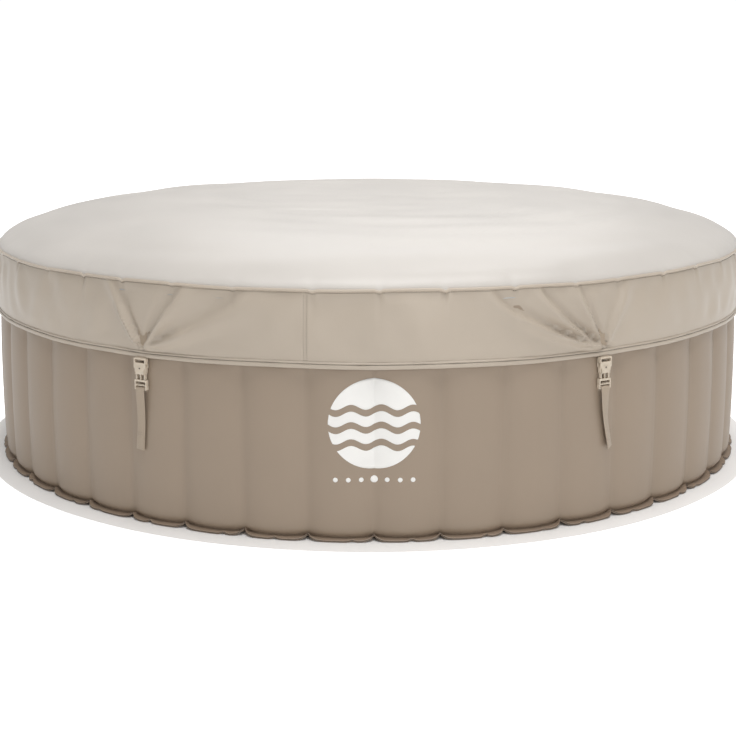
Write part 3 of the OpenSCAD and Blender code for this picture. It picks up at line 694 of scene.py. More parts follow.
def make_pool():
    """Floor sheet with a shallow quilt, and the air ring with its row of holes."""
    azimuth = turns(264)
    low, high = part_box("inner_floor")[0].z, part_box("inner_floor")[1].z
    share = np.linspace(1, 0.02, 60)[:, None] ** 0.7
    r = (INNER_R - 0.0015) * share
    quilt = 0.0016 * np.abs(np.sin(9 * math.pi * share)) ** 0.5 * (0.6 + 0.4 * np.abs(np.sin(12 * azimuth)) ** 0.5)
    floor = around(r + 0 * azimuth, high - 0.0016 + quilt * (1 - bell(share - 1, 0.02)), azimuth)
    made = piece("pool_floor", [disc_shell(floor, 0.0012)], [finish("pool")], "tub", ["inner_floor"])

    low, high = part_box("bubble_ring")[0].z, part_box("bubble_ring")[1].z
    r1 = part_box("bubble_ring")[1].x
    half, middle = 0.0148, r1 - 0.015
    azimuth = turns(528)
    gather = 0.0006 * np.abs(np.sin(44 * azimuth))
    a = np.linspace(-math.pi / 2, 1.5 * math.pi, 28, endpoint=False)[:, None]
    height = (high - low) / 2
    ring = around(middle + (half - gather) * np.sign(np.cos(a)) * np.abs(np.cos(a)) ** 0.8,
                  low + height + (height - gather) * np.sign(np.sin(a)) * np.abs(np.sin(a)) ** 0.8, azimuth)
    holes = []
    for hole in np.linspace(0, TAU, 120, endpoint=False):
        inwards = np.array([-math.sin(hole), math.cos(hole), 0])
        out = (inwards + UP) / math.sqrt(2)
        along = np.array([math.cos(hole), math.sin(hole), 0])
        centre = around(middle, low + height, hole) + out * (0.0128 if half < height else 0.0125)
        # each hole is a near-black disc of painted shade, not an opening
        holes.append(slab(circle(0.0022, 10), -0.001, 0.0009, 0.0003, (centre, along, np.cross(out, along), out), 1))
    piece("air_ring", [grid(ring, ring=True), *holes], [finish("pool"), finish("vent")],
          "tub", ["bubble_ring"])


def on_wall(s, z, proud):
    """Points on the outer wall at arc length s from the front and height z, a little proud of it."""
    azimuth = s / WALL_R
    return around(wall_radius(azimuth, z) + proud, z, azimuth)


def make_emblem():
    """Printed mark: a disc cut by three sine waves, over a row of dots, laid on the lobed wall."""
    sizes = bpy.context.scene.tub_sizes
    r = sizes.emblem_r
    x = np.linspace(-r, r, 1201)
    wave = 0.060 * r * np.sin(x * TAU * 1.5 / r)
    reach = np.sqrt(np.maximum(r * r - x * x, 0))
    cuts = [(0.30 * r, 0.075 * r), (-0.08 * r, 0.075 * r), (-0.46 * r, 0.075 * r)]
    tops = [reach] + [np.minimum(reach, wave + level - gap) for level, gap in cuts]
    bottoms = [np.maximum(-reach, wave + level + gap) for level, gap in cuts] + [-reach]
    strips = []
    for top, bottom in zip(tops, bottoms):
        kept = np.nonzero(top - bottom > 0.0006)[0]
        column = np.linspace(kept[0], kept[-1], 90).round().astype(int)
        t = np.linspace(0, 1, 14)[:, None]
        z = sizes.emblem_z + bottom[column] + (top - bottom)[column] * t
        strips.append(grid(on_wall(x[column] + 0 * t, z, 0.0006), wrap=False))
    for k in range(-3, 4):
        a, t = np.linspace(0, TAU, 20, endpoint=False), np.linspace(1, 0.1, 3)[:, None]
        size = 0.0052 if k else 0.008
        strips.append(grid(on_wall(0.028 * k + size * t * np.cos(a), sizes.emblem_z - r - 0.024 + size * t * np.sin(a),
                                   0.0006), end=True))
    made = piece("printed_emblem", strips, [finish("print")], "tub")
    skin = made.modifiers.new("film", "SOLIDIFY")
    skin.thickness, skin.offset = 0.0005, -1


# ---- The cover ----

DOME_POWER, DOME_ROOT = 3.13, 1.74
FOLDS = {  # per buckle: sideways run of each fold up to the piping, its curve, its width and its height
    FRONT_LEFT: [(-0.095, 1.0, 0.011, 1.0), (0.118, 1.1, 0.016, 1.0), (0.270, 1.6, 0.026, 0.75)],
    FRONT_RIGHT: [(-0.080, 1.2, 0.011, 1.0), (-0.175, 1.5, 0.012, 1.1), (-0.290, 1.7, 0.015, 0.95),
                  (0.075, 1.0, 0.014, 0.5)],
}


def buckle_folds(buckle):
    """The folds over a buckle: the front two are given, the others are drawn from a seeded generator."""
    if buckle in FOLDS:
        return FOLDS[buckle]
    draw = np.random.default_rng(int(1000 * buckle))
    runs = draw.permutation([-0.26, -0.10, 0.11, 0.24])[:3]
    return [(run + draw.uniform(-0.02, 0.02), draw.uniform(1, 1.6), draw.uniform(0.008, 0.018),
             draw.uniform(0.5, 1)) for run in runs]


def blotches(azimuth, z, seed, height, low=7, high=26, count=16):
    """Soft undulation: a sum of sines that close round the tub, with seeded waves and phases."""
    draw = np.random.default_rng(seed)
    total = 0
    for _ in range(count):
        wave, climb, phase = draw.integers(low, high), draw.uniform(-22, 22), draw.uniform(0, TAU)
        total = total + np.sin(wave * azimuth + climb * z + phase)
    return height * total / math.sqrt(count)


def notch_set():
    """Seeded azimuth, depth, slant and length of the dip over each weld."""
    channels = bpy.context.scene.tub_sizes.channels
    draw = np.random.default_rng(21)
    return [((k + draw.uniform(-0.12, 0.12)) * TAU / channels, draw.uniform(0.45, 1.2), draw.uniform(-0.5, 0.5),
             draw.uniform(0.018, 0.05)) for k in range(channels)]


def piping_dip(azimuth):
    """Height change of the piping: a V of 6 mm half width at each weld, and a slow wander."""
    dip = 0.0010 * np.sin(9 * azimuth + 0.6) + 0.0006 * np.sin(23 * azimuth)
    for place, depth, slant, _ in notch_set():
        s = apart(azimuth, place) * SKIRT_R
        dip = dip - bpy.context.scene.cover_sizes.notch * depth * (1 + slant * np.tanh(s / 0.004)) * bell(s, 0.0055)
    return dip


def skirt_radius(azimuth, z):
    """Skirt radius: a bulge below the piping, the folds that run up from each buckle, puckers and undulation,
    with a soft lower limit, limit + s log(1 + exp((r - limit) / s)), that keeps it outside the bladder."""
    sizes = bpy.context.scene.cover_sizes
    t = (z - HEM_HIGH) / (PIPING_Z - HEM_HIGH)
    inside = np.clip(t, 0, 1)
    r = SKIRT_R - 0.0005 + sizes.bulge * (4 * inside * (1 - inside)) ** 0.6
    r = r - (SKIRT_R - PIPING_R + 0.0010) * smooth(0.45, 1, t)
    undulation = blotches(azimuth, z, 3, 0.0026) + blotches(azimuth, 2.2 * z, 9, 0.0016, 30, 90)
    r = r + undulation * smooth(0, 0.25, t) * (1 - 0.8 * smooth(0.8, 1, t))
    for buckle in BUCKLES:
        s = apart(azimuth, buckle) * SKIRT_R
        for run, curve, width, height in buckle_folds(buckle):
            rest = np.clip(1 - inside, 0.001, 1)
            centre = run * (1 - rest ** curve)
            slope = run * curve * rest ** (curve - 1) / (PIPING_Z - HEM_HIGH)
            away = (s - centre) / np.sqrt(1 + slope ** 2)
            spread = np.maximum(0.0070, width * (0.30 + 0.85 * inside))
            ridge = np.where(away * np.sign(run) > 0, bell(away, spread * 1.5), bell(away, spread * 0.6))
            groove = bell(away + np.sign(run) * spread * 1.5, spread * 0.9)
            strength = smooth(0.0, 0.12, inside) * (1 - 0.7 * inside ** 3)
            r = r + sizes.fold_height * height * strength * (ridge - 0.55 * groove)
    for place, depth, slant, length in notch_set():
        drop = (PIPING_Z - z) / length
        s = apart(azimuth, place) * SKIRT_R - slant * 0.5 * (PIPING_Z - z)
        crease = bell(s, 0.004 + 0.10 * (PIPING_Z - z)) - 0.7 * bell(s - 0.010, 0.005 + 0.12 * (PIPING_Z - z))
        r = r - 0.0030 * depth * crease * np.exp(-np.maximum(drop, 0) ** 1.5) * (z < PIPING_Z)
    for edge in panel_seams():
        r = r - 0.0016 * bell(apart(azimuth, edge) * SKIRT_R, 0.0018)
    deepest, clear, soft = 0.0085, 0.0030, 0.0015
    limit = max(BLADDER_R + clear, SKIRT_R - deepest)
    return limit + soft * np.logaddexp(0, (r - limit) / soft)


def panel_seams():
    """Azimuths of the joins between the skirt's three panels."""
    return [math.radians(a) for a in (-8.2, 111.8, 231.8)]


def hem_dip(azimuth):
    """How far the hem hangs below its level: a slow wander and a pull at each buckle."""
    dip = 0.0007 * np.sin(7 * azimuth) + 0.0006 * np.sin(17 * azimuth + 2)
    for buckle in BUCKLES:
        dip = dip + bpy.context.scene.cover_sizes.dip * bell(apart(azimuth, buckle) * SKIRT_R, 0.045)
    return dip


def dome_height(r):
    """z = piping + rise (1 - (r / R)^3.13)^(1 / 1.74)."""
    share = np.clip(1 - (r / PIPING_R) ** DOME_POWER, 0, 1)
    return PIPING_Z + 0.001 + (TOP_Z - PIPING_Z - 0.001) * share ** (1 / DOME_ROOT)


def make_cover_top():
    """Domed top sheet with soft sags and short creases at the welds, and the piping round its edge."""
    azimuth = turns(528)
    rows = np.concatenate([np.linspace(0, 0.35, 26), np.linspace(0.38, 1.53, 34)])[:, None]
    r = (PIPING_R + 0.0005) * np.cos(rows)
    sag = blotches(azimuth, 3 * r, 5, 0.0016, 1, 9) * smooth(0.02, 0.3, rows) * smooth(0, 0.3, r)
    edge = smooth(0, 0.06, rows) * bell(rows - 0.12, 0.16)
    sag = sag + blotches(azimuth, r, 8, 0.0010, 14, 46) * edge
    for place, depth, slant, length in notch_set():
        s = apart(azimuth, place) * r - slant * (PIPING_R - r)
        sag = sag - 0.0028 * depth * bell(s, 0.004 + 0.18 * (PIPING_R - r)) * bell((PIPING_R - r) / length, 0.9) * (
            0.25 + 0.75 * smooth(0, 0.004, PIPING_R - r))
    dip = piping_dip(azimuth) * bell(rows, 0.10)
    top = around(r + 0 * azimuth, dome_height(r) + sag + dip, azimuth)
    made = piece("cover_dome", [disc_shell(top, 0.0016)], [finish("top")], "cover", ["cover_top"], 60)

    azimuth = turns(1056)
    a = np.linspace(0, TAU, 12, endpoint=False)[:, None]
    middle = PIPING_R + 0.0016
    welt = around(middle + 0.0031 * np.cos(a), PIPING_Z + 0.0008 + piping_dip(azimuth) + 0.0031 * np.sin(a), azimuth)
    piece("cover_welt", [grid(welt, ring=True)], [finish("piping")], "cover", ["cover_piping"])


def make_skirt():
    """Skirt with its folds, the folded hem band below it, and the lines of stitching."""
    sizes = bpy.context.scene.cover_sizes
    azimuth = turns(1320)
    t = np.linspace(0, 1, 44)[:, None]
    low, high = SKIRT_LOW - 0.004 - hem_dip(azimuth), PIPING_Z - 0.0012 + piping_dip(azimuth)
    z = low + (high - low) * t
    level = HEM_HIGH - 0.004 + (PIPING_Z - HEM_HIGH + 0.0028) * t
    skirt = around(skirt_radius(azimuth, level), z, azimuth)
    hem = make_hem()
    thread = make_threads(sizes)
    made = piece("cover_skirt_cloth", [shell(skirt, 0.0014, 4)], [finish("cover")], "cover",
                 ["cover_skirt"], 60)


def make_hem():
    """Folded band: an upright rounded section whose face swells twice, carried round the skirt's lower edge."""
    azimuth = turns(1056)
    low, high = HEM_LOW, HEM_HIGH
    section = [(-0.0012, low + 0.0004), (0.0012, low - 0.0002), (0.0030, low + 0.0012), (0.0036, low + 0.0040),
               (0.0036, low + 0.0072), (0.0024, low + 0.0090), (0.0004, low + 0.0098), (0.0022, low + 0.0108),
               (0.0026, low + 0.0128), (0.0016, high - 0.0004), (0.0002, high + 0.0004), (-0.0014, high - 0.0006),
               (-0.0018, low + 0.0080)]
    ripple = 0.0004 * np.sin(61 * azimuth) + 0.0003 * np.sin(97 * azimuth + 1)
    rows = [around(SKIRT_R + out + ripple, z - hem_dip(azimuth), azimuth) for out, z in section]
    return piece("cover_hem_band", [grid(np.concatenate(rows), ring=True)], [finish("cover")], "cover",
                 ["cover_hem"])


def make_threads(sizes):
    """Stitches along the hem, beside the panel joins, and the crossed box over each strap."""
    azimuth = np.linspace(0, TAU, 2400)
    out = around(1.0, 0.0, azimuth)
    shapes = []
    line = around(SKIRT_R + 0.0019, HEM_LOW + 0.0101 - hem_dip(azimuth), azimuth)
    shapes.append(stitches(line, out, sizes.stitch, 0.0006, 0.0022))
    seam = around(skirt_radius(azimuth, PIPING_Z - 0.004) + 0.0003, PIPING_Z - 0.0052 + piping_dip(azimuth), azimuth)
    shapes.append(stitches(seam, out, sizes.stitch, 0.0008, 0.0016))
    height = np.linspace(HEM_HIGH, PIPING_Z - 0.008, 40)
    for edge in panel_seams():
        for side in (-0.0035, 0.0035):
            place = edge + side / SKIRT_R
            line = around(skirt_radius(place, height) + 0.0003, height, place)
            outward = np.broadcast_to(around(1.0, 0.0, place), line.shape)
            shapes.append(stitches(line, outward, sizes.stitch, 0.0016, 0.0008))
    half, low = 0.0085, HEM_HIGH + 0.0015
    corners = [(-1, 0), (1, 0), (1, 1), (-1, 1), (-1, 0), (1, 1), (-1, 1), (1, 0)]
    for buckle in BUCKLES:
        turn = np.linspace(0, len(corners) - 1, 160)
        s, t = (np.interp(turn, range(len(corners)), [c[k] for c in corners]) for k in (0, 1))
        place, z = buckle + s * half / SKIRT_R, low + t * 2 * half
        line = around(skirt_radius(place, z) + 0.0004, z - sizes.dip, place)
        shapes.append(stitches(line, around(1.0, 0.0, place), 0.0030, 0.0010, 0.0009))
    return piece("cover_stitching", shapes, [finish("thread")], "cover")


def make_lining():
    """Foil lining under the bladder and over the rim, its zip, and the inflated bladder with its ring welds."""
    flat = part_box("cover_bladder")[0].z - 0.0024
    azimuth = turns(264)
    over = [(RIM_MID + (WALL_R - RIM_MID + 0.004) * math.cos(a),
             WALL_HIGH + (RIM_HIGH - WALL_HIGH + 0.007) * math.sin(a))
            for a in np.radians([75, 60, 45, 30, 15])]
    line = [(0.75, flat), (INNER_R + 0.024, RIM_HIGH + 0.002), (RIM_MID, RIM_HIGH + 0.008), *over]
    line = smooth_path([(x, z, 0) for x, z in line], 40)[::-1]
    inner = np.linspace(0.74, 0.02, 24)
    r = np.concatenate([line[:, 0], inner])[:, None]
    z = np.concatenate([line[:, 1], np.full(24, flat)])[:, None]
    creases = 0.0006 * np.sin(44 * azimuth) * smooth(0.5, 0.8, r)
    lining = around(r + 0 * azimuth, z + creases, azimuth)
    made = piece("lining_foil", [disc_shell(lining, 0.0008)], [finish("lining")], "cover",
                 ["cover_lining"], 60)

    zip_r = 0.700
    tape = [(zip_r - 0.012, flat - 0.0012), (zip_r + 0.012, flat - 0.0012), (zip_r + 0.012, flat - 0.0022),
            (zip_r - 0.012, flat - 0.0022)]
    teeth = [(zip_r - 0.003, flat - 0.0021), (zip_r - 0.002, flat - 0.0036), (zip_r + 0.002, flat - 0.0036),
             (zip_r + 0.003, flat - 0.0021)]
    piece("lining_zip", [lathe(tape[::-1], 180, ring=True, finish=0), lathe(teeth, 180, ring=True, finish=1)],
          [finish("webbing"), finish("dark")], "cover")

    low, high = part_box("cover_bladder")[0].z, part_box("cover_bladder")[1].z
    a = np.linspace(-math.pi / 2, math.pi / 2, 60)
    r = (BLADDER_R - 0.002) * np.cos(a) ** 0.35
    rise = np.sin(np.abs(a))
    height = np.where(a > 0, (high - low - 0.036) * rise ** 0.6 + 0.030, 0.030 - 0.029 * rise ** 0.5)
    welds = 0.004 * np.abs(np.cos(r * TAU * 4 / BLADDER_R)) ** 8 * (a > 0)
    shapes = [lathe(np.stack([np.maximum(r, 0.01), low + height - welds], -1), 176, start=True, end=True)]
    made = piece("cover_bladder_skin", shapes, [finish("bladder")], "cover", ["cover_bladder"], 60)


# ---- Straps and buckles ----

def facing(azimuth, r, z):
    """Local frame on the tub's side: origin, sideways, up and outwards."""
    out = np.array([math.sin(azimuth), -math.cos(azimuth), 0])
    return np.array([r * out[0], r * out[1], z]), np.array([math.cos(azimuth), math.sin(azimuth), 0]), UP, out


def tail_path(azimuth, drift, count=48):
    """The tail's middle line from its plug down: radii close in on the wall, and drift leans it sideways."""
    levels = np.array([PLUG_LOW + 0.0072, PLUG_LOW + 0.0058, PLUG_LOW + 0.0010, PLUG_LOW - 0.010, PLUG_LOW - 0.040,
                       PLUG_LOW - 0.080, TAIL_LOW])
    out = BUCKLE_R + np.array([-0.0040, 0.0030, 0.0066, 0.0062, 0.0030, -0.0005, -0.0015])
    lean = drift * np.clip((PLUG_LOW - levels) / (PLUG_LOW - TAIL_LOW), 0, 1) ** 1.5
    path = smooth_path(np.stack([out, levels, lean], -1), count)
    place = azimuth + path[:, 2] / BUCKLE_R
    return around(path[:, 0], path[:, 1], place)


def make_straps():
    """Webbing: the loops sewn under the skirt, the wall anchors and the free tails with their folded ends."""
    width = 0.025
    loops, anchors, tails = [], [], []
    draw = np.random.default_rng(11)
    for buckle in BUCKLES:
        _, side, _, out = facing(buckle, 1, 0)
        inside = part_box("cover_straps")[0].z
        back, front = SKIRT_R - 0.0042, BUCKLE_R + 0.0038
        low, high = SOCKET_HIGH - 0.0056, SOCKET_HIGH + 0.0010
        a = np.linspace(0, TAU, 40, endpoint=False)
        r = (back + front) / 2 + (front - back) / 2 * np.sign(np.cos(a)) * np.abs(np.cos(a)) ** 0.5
        z = (low + high) / 2 + (high - low) / 2 * np.sign(np.sin(a)) * np.abs(np.sin(a)) ** 0.6
        loops.append(swept(around(r, z, buckle), side, width, 0.0013, closed=True))
        leg = [(back - 0.0003, inside + 0.010), (back - 0.0003, inside + 0.045), (back - 0.0003, inside + 0.079)]
        loops.append(swept(smooth_path([around(x, h, buckle) for x, h in leg], 12), side, width, 0.0013))
        line = [(WALL_R + 0.0014, PLUG_LOW - 0.070), (WALL_R + 0.0014, PLUG_LOW - 0.022),
                (BUCKLE_R - 0.0058, PLUG_LOW + 0.003), (BUCKLE_R - 0.0058, PLUG_LOW + 0.013)]
        anchors.append(swept(smooth_path([around(x, h, buckle) for x, h in line], 24), -side, width, 0.0014))
        drift, twist = {FRONT_LEFT: (-0.009, 0.10), FRONT_RIGHT: (0.024, -0.55)}.get(
            buckle, (draw.uniform(-0.012, 0.012), draw.uniform(-0.35, 0.35)))
        path = tail_path(buckle, drift)
        t = np.linspace(0, 1, len(path))
        thick = 0.0013 + 0.0016 * smooth(0.885, 0.90, t)
        tails.append(swept(path, -side, width, thick, twist=twist * smooth(0.3, 1.0, t)))
        end = path[[-6, -5]].mean(0)
        for lift in (0, 0.005):
            across = side * math.cos(twist) - out * math.sin(twist) * 0.3
            normal = np.cross(UP, across)
            normal *= np.sign(normal @ out)
            line = end + UP * lift + np.linspace(-0.010, 0.010, 20)[:, None] * across + normal * 0.0016
            tails.append(stitches(line, np.broadcast_to(normal, line.shape), 0.0022, 0.0008, 0.0008, 1))
    finishes = [finish("webbing"), finish("thread")]
    piece("strap_loops", loops, finishes[:1], "cover", ["cover_straps"])
    piece("strap_anchors", anchors, finishes[:1], "tub", ["wall_anchors"])
    piece("strap_tails_webbing", tails, finishes, "tub", ["strap_tails"])


def socket_outline(low, high, half):
    """Plate outline whose sides are cut in by half ellipses near its lower end, so that the prongs show."""
    t = np.linspace(0, 1, 40)
    z = low + (high - low) * t
    cut = 0.0052 * np.sqrt(np.clip(1 - ((z - low - 0.0065) / 0.0075) ** 2, 0, 1))
    corner = 0.0022 * (1 - np.sqrt(np.clip(1 - (1 - (high - z) / 0.0022) ** 2 * (high - z < 0.0022), 0, 1)))
    x = half - cut - corner
    return np.concatenate([np.stack([x, z], -1), np.stack([-x[::-1], z[::-1]], -1)])


def make_buckles():
    """Sockets on the cover and plugs on the tub: bevelled plates, ladder frames, guides and their dark slots, with a
    disc of painted shade in each socket's ring hole.
    """
    sockets, plugs = [], []
    half = 0.0165
    for buckle in BUCKLES:
        axes = facing(buckle, BUCKLE_R, 0)
        low, high = SOCKET_LOW, SOCKET_HIGH
        middle = high - 0.0068
        at = (axes[0] + UP * middle, *axes[1:])
        outer = rounded(half, 0.0068, 0.0026)
        slot = rounded(0.0134, 0.0038, 0.0010) + np.array([0, -0.0002])
        sockets.append(frame_block(outer, slot, -0.006, 0.006, 0.0009, at))
        plate = socket_outline(low, high - 0.0125, half)
        for w0, w1 in ((0.0037, 0.0060), (-0.0060, -0.0037)):
            sockets.append(slab(plate, w0, w1, 0.0006, axes))
        sockets.append(slab(rounded(half - 0.001, 0.0012, 0.0006) + np.array([0, high - 0.0132]),
                            -0.0058, 0.0058, 0.0005, axes))
        hole = (axes[0] + UP * (low + 0.0135), *axes[1:])
        ring_rows = [(0.0034, 0.0058), (0.0034, 0.0064), (0.0028, 0.0067), (0.0022, 0.0064), (0.0020, 0.0050)]
        sockets.append(spun(ring_rows, hole, 20))
        # painted shade: a near-black disc sits in the ring's hole, where there is only shade
        sockets.append(slab(circle(0.0019, 16), 0.0045, 0.0062, 0.0002, hole, 1))
        for band in (0.0165, 0.0190):
            sockets.append(slab(rounded(0.0085, 0.0006, 0.0005, 3) + np.array([0, low + band]),
                                0.0057, 0.0065, 0.0003, axes))
        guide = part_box("buckle_plugs")[1].z
        top = PLUG_LOW + 0.0234
        for centre, tall in ((PLUG_LOW + 0.0059, 0.0059), (PLUG_LOW + 0.0173, 0.0062)):
            at = (axes[0] + UP * centre, *axes[1:])
            slot = rounded(0.0132, 0.0033, 0.0009) + np.array([0, PLUG_LOW + 0.0063 - centre if tall < 0.006
                                                              else PLUG_LOW + 0.0153 - centre])
            plugs.append(frame_block(rounded(half, tall, 0.0022), slot, -0.0048, 0.0048, 0.0009, at))
        plugs.append(slab(rounded(0.0014, (guide - top) / 2 + 0.001, 0.0006) + np.array([0, (guide + top) / 2 - 0.001]),
                          -0.0031, 0.0031, 0.0004, axes))
        for h in (0.0025, 0.0135):
            plugs.append(slab(rounded(0.0105, 0.0005, 0.0004, 3) + np.array([0, PLUG_LOW + h]),
                              0.0045, 0.0053, 0.0003, axes))
    piece("buckle_socket_shells", sockets, [finish("buckle"), finish("shade")], "cover",
          ["buckle_sockets"])
    piece("buckle_plug_shells", plugs, [finish("buckle")], "tub", ["buckle_plugs"])


# ---- Pump unit ----

def squared(cx, cy, half_w, half_d, r, count, grow=0.0):
    """Even steps round a rectangle with round corners, anticlockwise from the +X side, moved out by grow."""
    outline = rounded(half_w, half_d, r, 16)
    loop = np.concatenate([outline, outline[:1]])
    along = np.concatenate([[0], np.cumsum(np.linalg.norm(np.diff(loop, axis=0), axis=-1))])
    s = np.linspace(0, along[-1], count, endpoint=False)
    even = np.stack([np.interp(s, along, loop[:, k]) for k in (0, 1)], -1)
    return inset(even, -grow) + np.array([cx, cy])


def make_casing():
    """Casing skin: one net from the bottom lip up the sides, over the shoulder and down into the filter cup."""
    count = 760
    cap_low, cap_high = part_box("filter_cap")
    cup = np.array([(cap_low.x + cap_high.x) / 2, (cap_low.y + cap_high.y) / 2])
    cup_r, cup_floor = 0.058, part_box("filter_cartridge")[0].z - 0.0003
    low, high = CASING_LOW, CASING_HIGH
    half_w, half_d, corner = CASING_X, (CASING_REAR - CASING_FRONT) / 2, 0.042
    heights = np.concatenate([[low, low + 0.003, low + 0.010], np.linspace(low + 0.016, low + 0.022, 3),
                              np.linspace(low + 0.032, 0.18, 7), np.linspace(0.184, 0.346, 42),
                              np.linspace(0.352, high - 0.020, 7)])
    rows = []
    groove = 0.0018 * bell(heights - low - 0.019, 0.0022) + 0.0015 * (1 - smooth(low, low + 0.004, heights))
    swell = 0.0015 * np.sin(np.clip((heights - low) / (high - low), 0, 1) * math.pi)
    for h, g, s in zip(heights, groove, swell):
        ring = squared(0, CASING_MID, half_w, half_d, corner, count, s - g - 0.0015)
        rows.append(np.column_stack([ring, np.full(count, h)]))
    a = np.linspace(0.1, math.pi / 2, 8)
    for angle in a:
        ring = squared(0, CASING_MID, half_w, half_d, corner, count, -0.0015 - 0.018 * (1 - math.cos(angle)))
        rows.append(np.column_stack([ring, np.full(count, high - 0.0185 * (1 - math.sin(angle)))]))
    side = np.array(rows)
    flat = np.abs(side[..., 1] - CASING_MID) < 0.0835
    lane = np.mod((side[..., 1] - CASING_MID + 0.004) / 0.016, 1)
    slot = flat * (np.abs(np.abs(side[..., 0]) - half_w) < 0.004) * bell(lane - 0.5, 0.17) ** 2
    slot = slot * smooth(0.188, 0.192, side[..., 2]) * (1 - smooth(0.338, 0.342, side[..., 2]))
    side[..., 0] -= np.sign(side[..., 0]) * 0.006 * slot
    edge = side[-1][:, :2]
    angle = np.arctan2(edge[:, 1] - cup[1], edge[:, 0] - cup[0])
    mouth = cup + (cup_r + 0.002) * np.stack([np.cos(angle), np.sin(angle)], -1)
    inner = []
    for t in np.linspace(0.06, 1, 12):
        inner.append(np.column_stack([edge + (mouth - edge) * t, np.full(count, high)]))
    for r, z in ((cup_r + 0.0006, high - 0.0006), (cup_r, high - 0.002), (cup_r, 0.36), (cup_r, cup_floor + 0.004),
                 (cup_r - 0.004, cup_floor)):
        inner.append(np.column_stack([cup + r * np.stack([np.cos(angle), np.sin(angle)], -1), np.full(count, z)]))
    skin = grid(np.concatenate([side, np.array(inner)]), start=True, end=True)
    shapes = [skin, *casing_fittings()]
    made = piece("casing_skin", shapes, [finish("casing"), finish("vent")], "tub", ["unit_casing"])
    # the recessed vent slots get the near-black vent finish as painted shade
    depth = slot[:-1].ravel()
    numbers = np.zeros(len(made.data.polygons), np.int32)
    numbers[:len(depth)][depth > 0.5] = 1
    made.data.polygons.foreach_set("material_index", numbers)


def casing_fittings():
    """Hose stubs with collars, the cord gland, the handle lugs and four screw bosses."""
    shapes = []
    for node in ("coupling_nut_1", "coupling_nut_2", "coupling_nut_3"):
        low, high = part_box(node)
        axis = (np.array([(low.x + high.x) / 2, 0, (low.z + high.z) / 2]), UP, RIGHT, BACK)
        start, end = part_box("port_seals")[1].y + 0.0001, CASING_FRONT
        shapes.append(pipe([(0.025, start), (0.025, end - 0.012), (0.029, end - 0.008), (0.036, end - 0.006),
                            (0.037, end - 0.003), (0.037, end + 0.003)], 0.0205, axis))
    axis = (np.array([-0.110, 0, 0.080]), UP, RIGHT, BACK)
    shapes.append(pipe([(0.017, CASING_REAR - 0.003), (0.017, CASING_REAR + 0.002), (0.015, CASING_REAR + 0.004),
                        (0.010, CASING_REAR + 0.006), (0.0092, CASING_REAR + 0.018), (0.008, CASING_REAR + 0.020)],
                       0.0042, axis))
    low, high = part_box("unit_handle")
    pivot = high.z - 0.007
    hinge_y = high.y - 0.007
    for x in (-0.063, 0.063):
        a = np.linspace(0, math.pi, 14)
        lug = np.concatenate([np.stack([0.009 * np.cos(a), pivot + 0.007 * np.sin(a)], -1),
                              [(-0.012, CASING_HIGH - 0.001), (0.012, CASING_HIGH - 0.001)]])
        shapes.append(slab(lug, -0.003, 0.003, 0.0006, (np.array([x, hinge_y, 0]), BACK, UP, RIGHT)))
    for sx in (-1, 1):
        for sy in (-1, 1):
            centre = np.array([sx * (CASING_X - 0.024), CASING_MID + sy * 0.142, CASING_HIGH])
            shapes.append(spun([(0.007, -0.001), (0.0068, 0.0008), (0.0055, 0.0012), (0.0030, 0.0010),
                                (0.0026, 0.0002)], (centre, RIGHT, BACK, UP), 24))
    return shapes


def pipe(outer, bore, frame_axes, finish=0, count=48):
    """A pipe from an outer profile of (radius, height) points and a straight bore through it."""
    r, h = np.array([*outer, (bore, outer[-1][1]), (bore, outer[0][1])]).T[:, :, None]
    a = np.linspace(0, TAU, count, endpoint=False)
    rows = np.stack([r * np.cos(a), r * np.sin(a), h + 0 * a], -1)
    return grid(placed(rows, *frame_axes), ring=True, finish=finish)


def make_base():
    """Dark base tray with a stepped edge, and its four feet."""
    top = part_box("unit_base")[1].z
    half_d = (CASING_REAR - CASING_FRONT) / 2
    rows = [(0.012, 0.012), (0.004, 0.0125), (0.0015, 0.014), (0.0005, 0.020), (0.0005, top - 0.006),
            (0.003, top - 0.004), (0.003, top)]
    net = np.array([np.column_stack([squared(0, CASING_MID, CASING_X - 0.004, half_d - 0.004, 0.040, 240, -d),
                                     np.full(240, h)]) for d, h in rows])
    shapes = [grid(net, start=True, end=True)]
    for sx in (-0.140, 0.140):
        for sy in (-0.120, 0.120):
            centre = np.array([sx, CASING_MID + sy, 0])
            shapes.append(spun([(0.015, 0.0), (0.0185, 0.0006), (0.020, 0.003), (0.020, 0.009), (0.024, 0.0125)],
                               (centre, RIGHT, BACK, UP), 32))
    piece("base_tray", shapes, [finish("dark")], "tub", ["unit_base"])


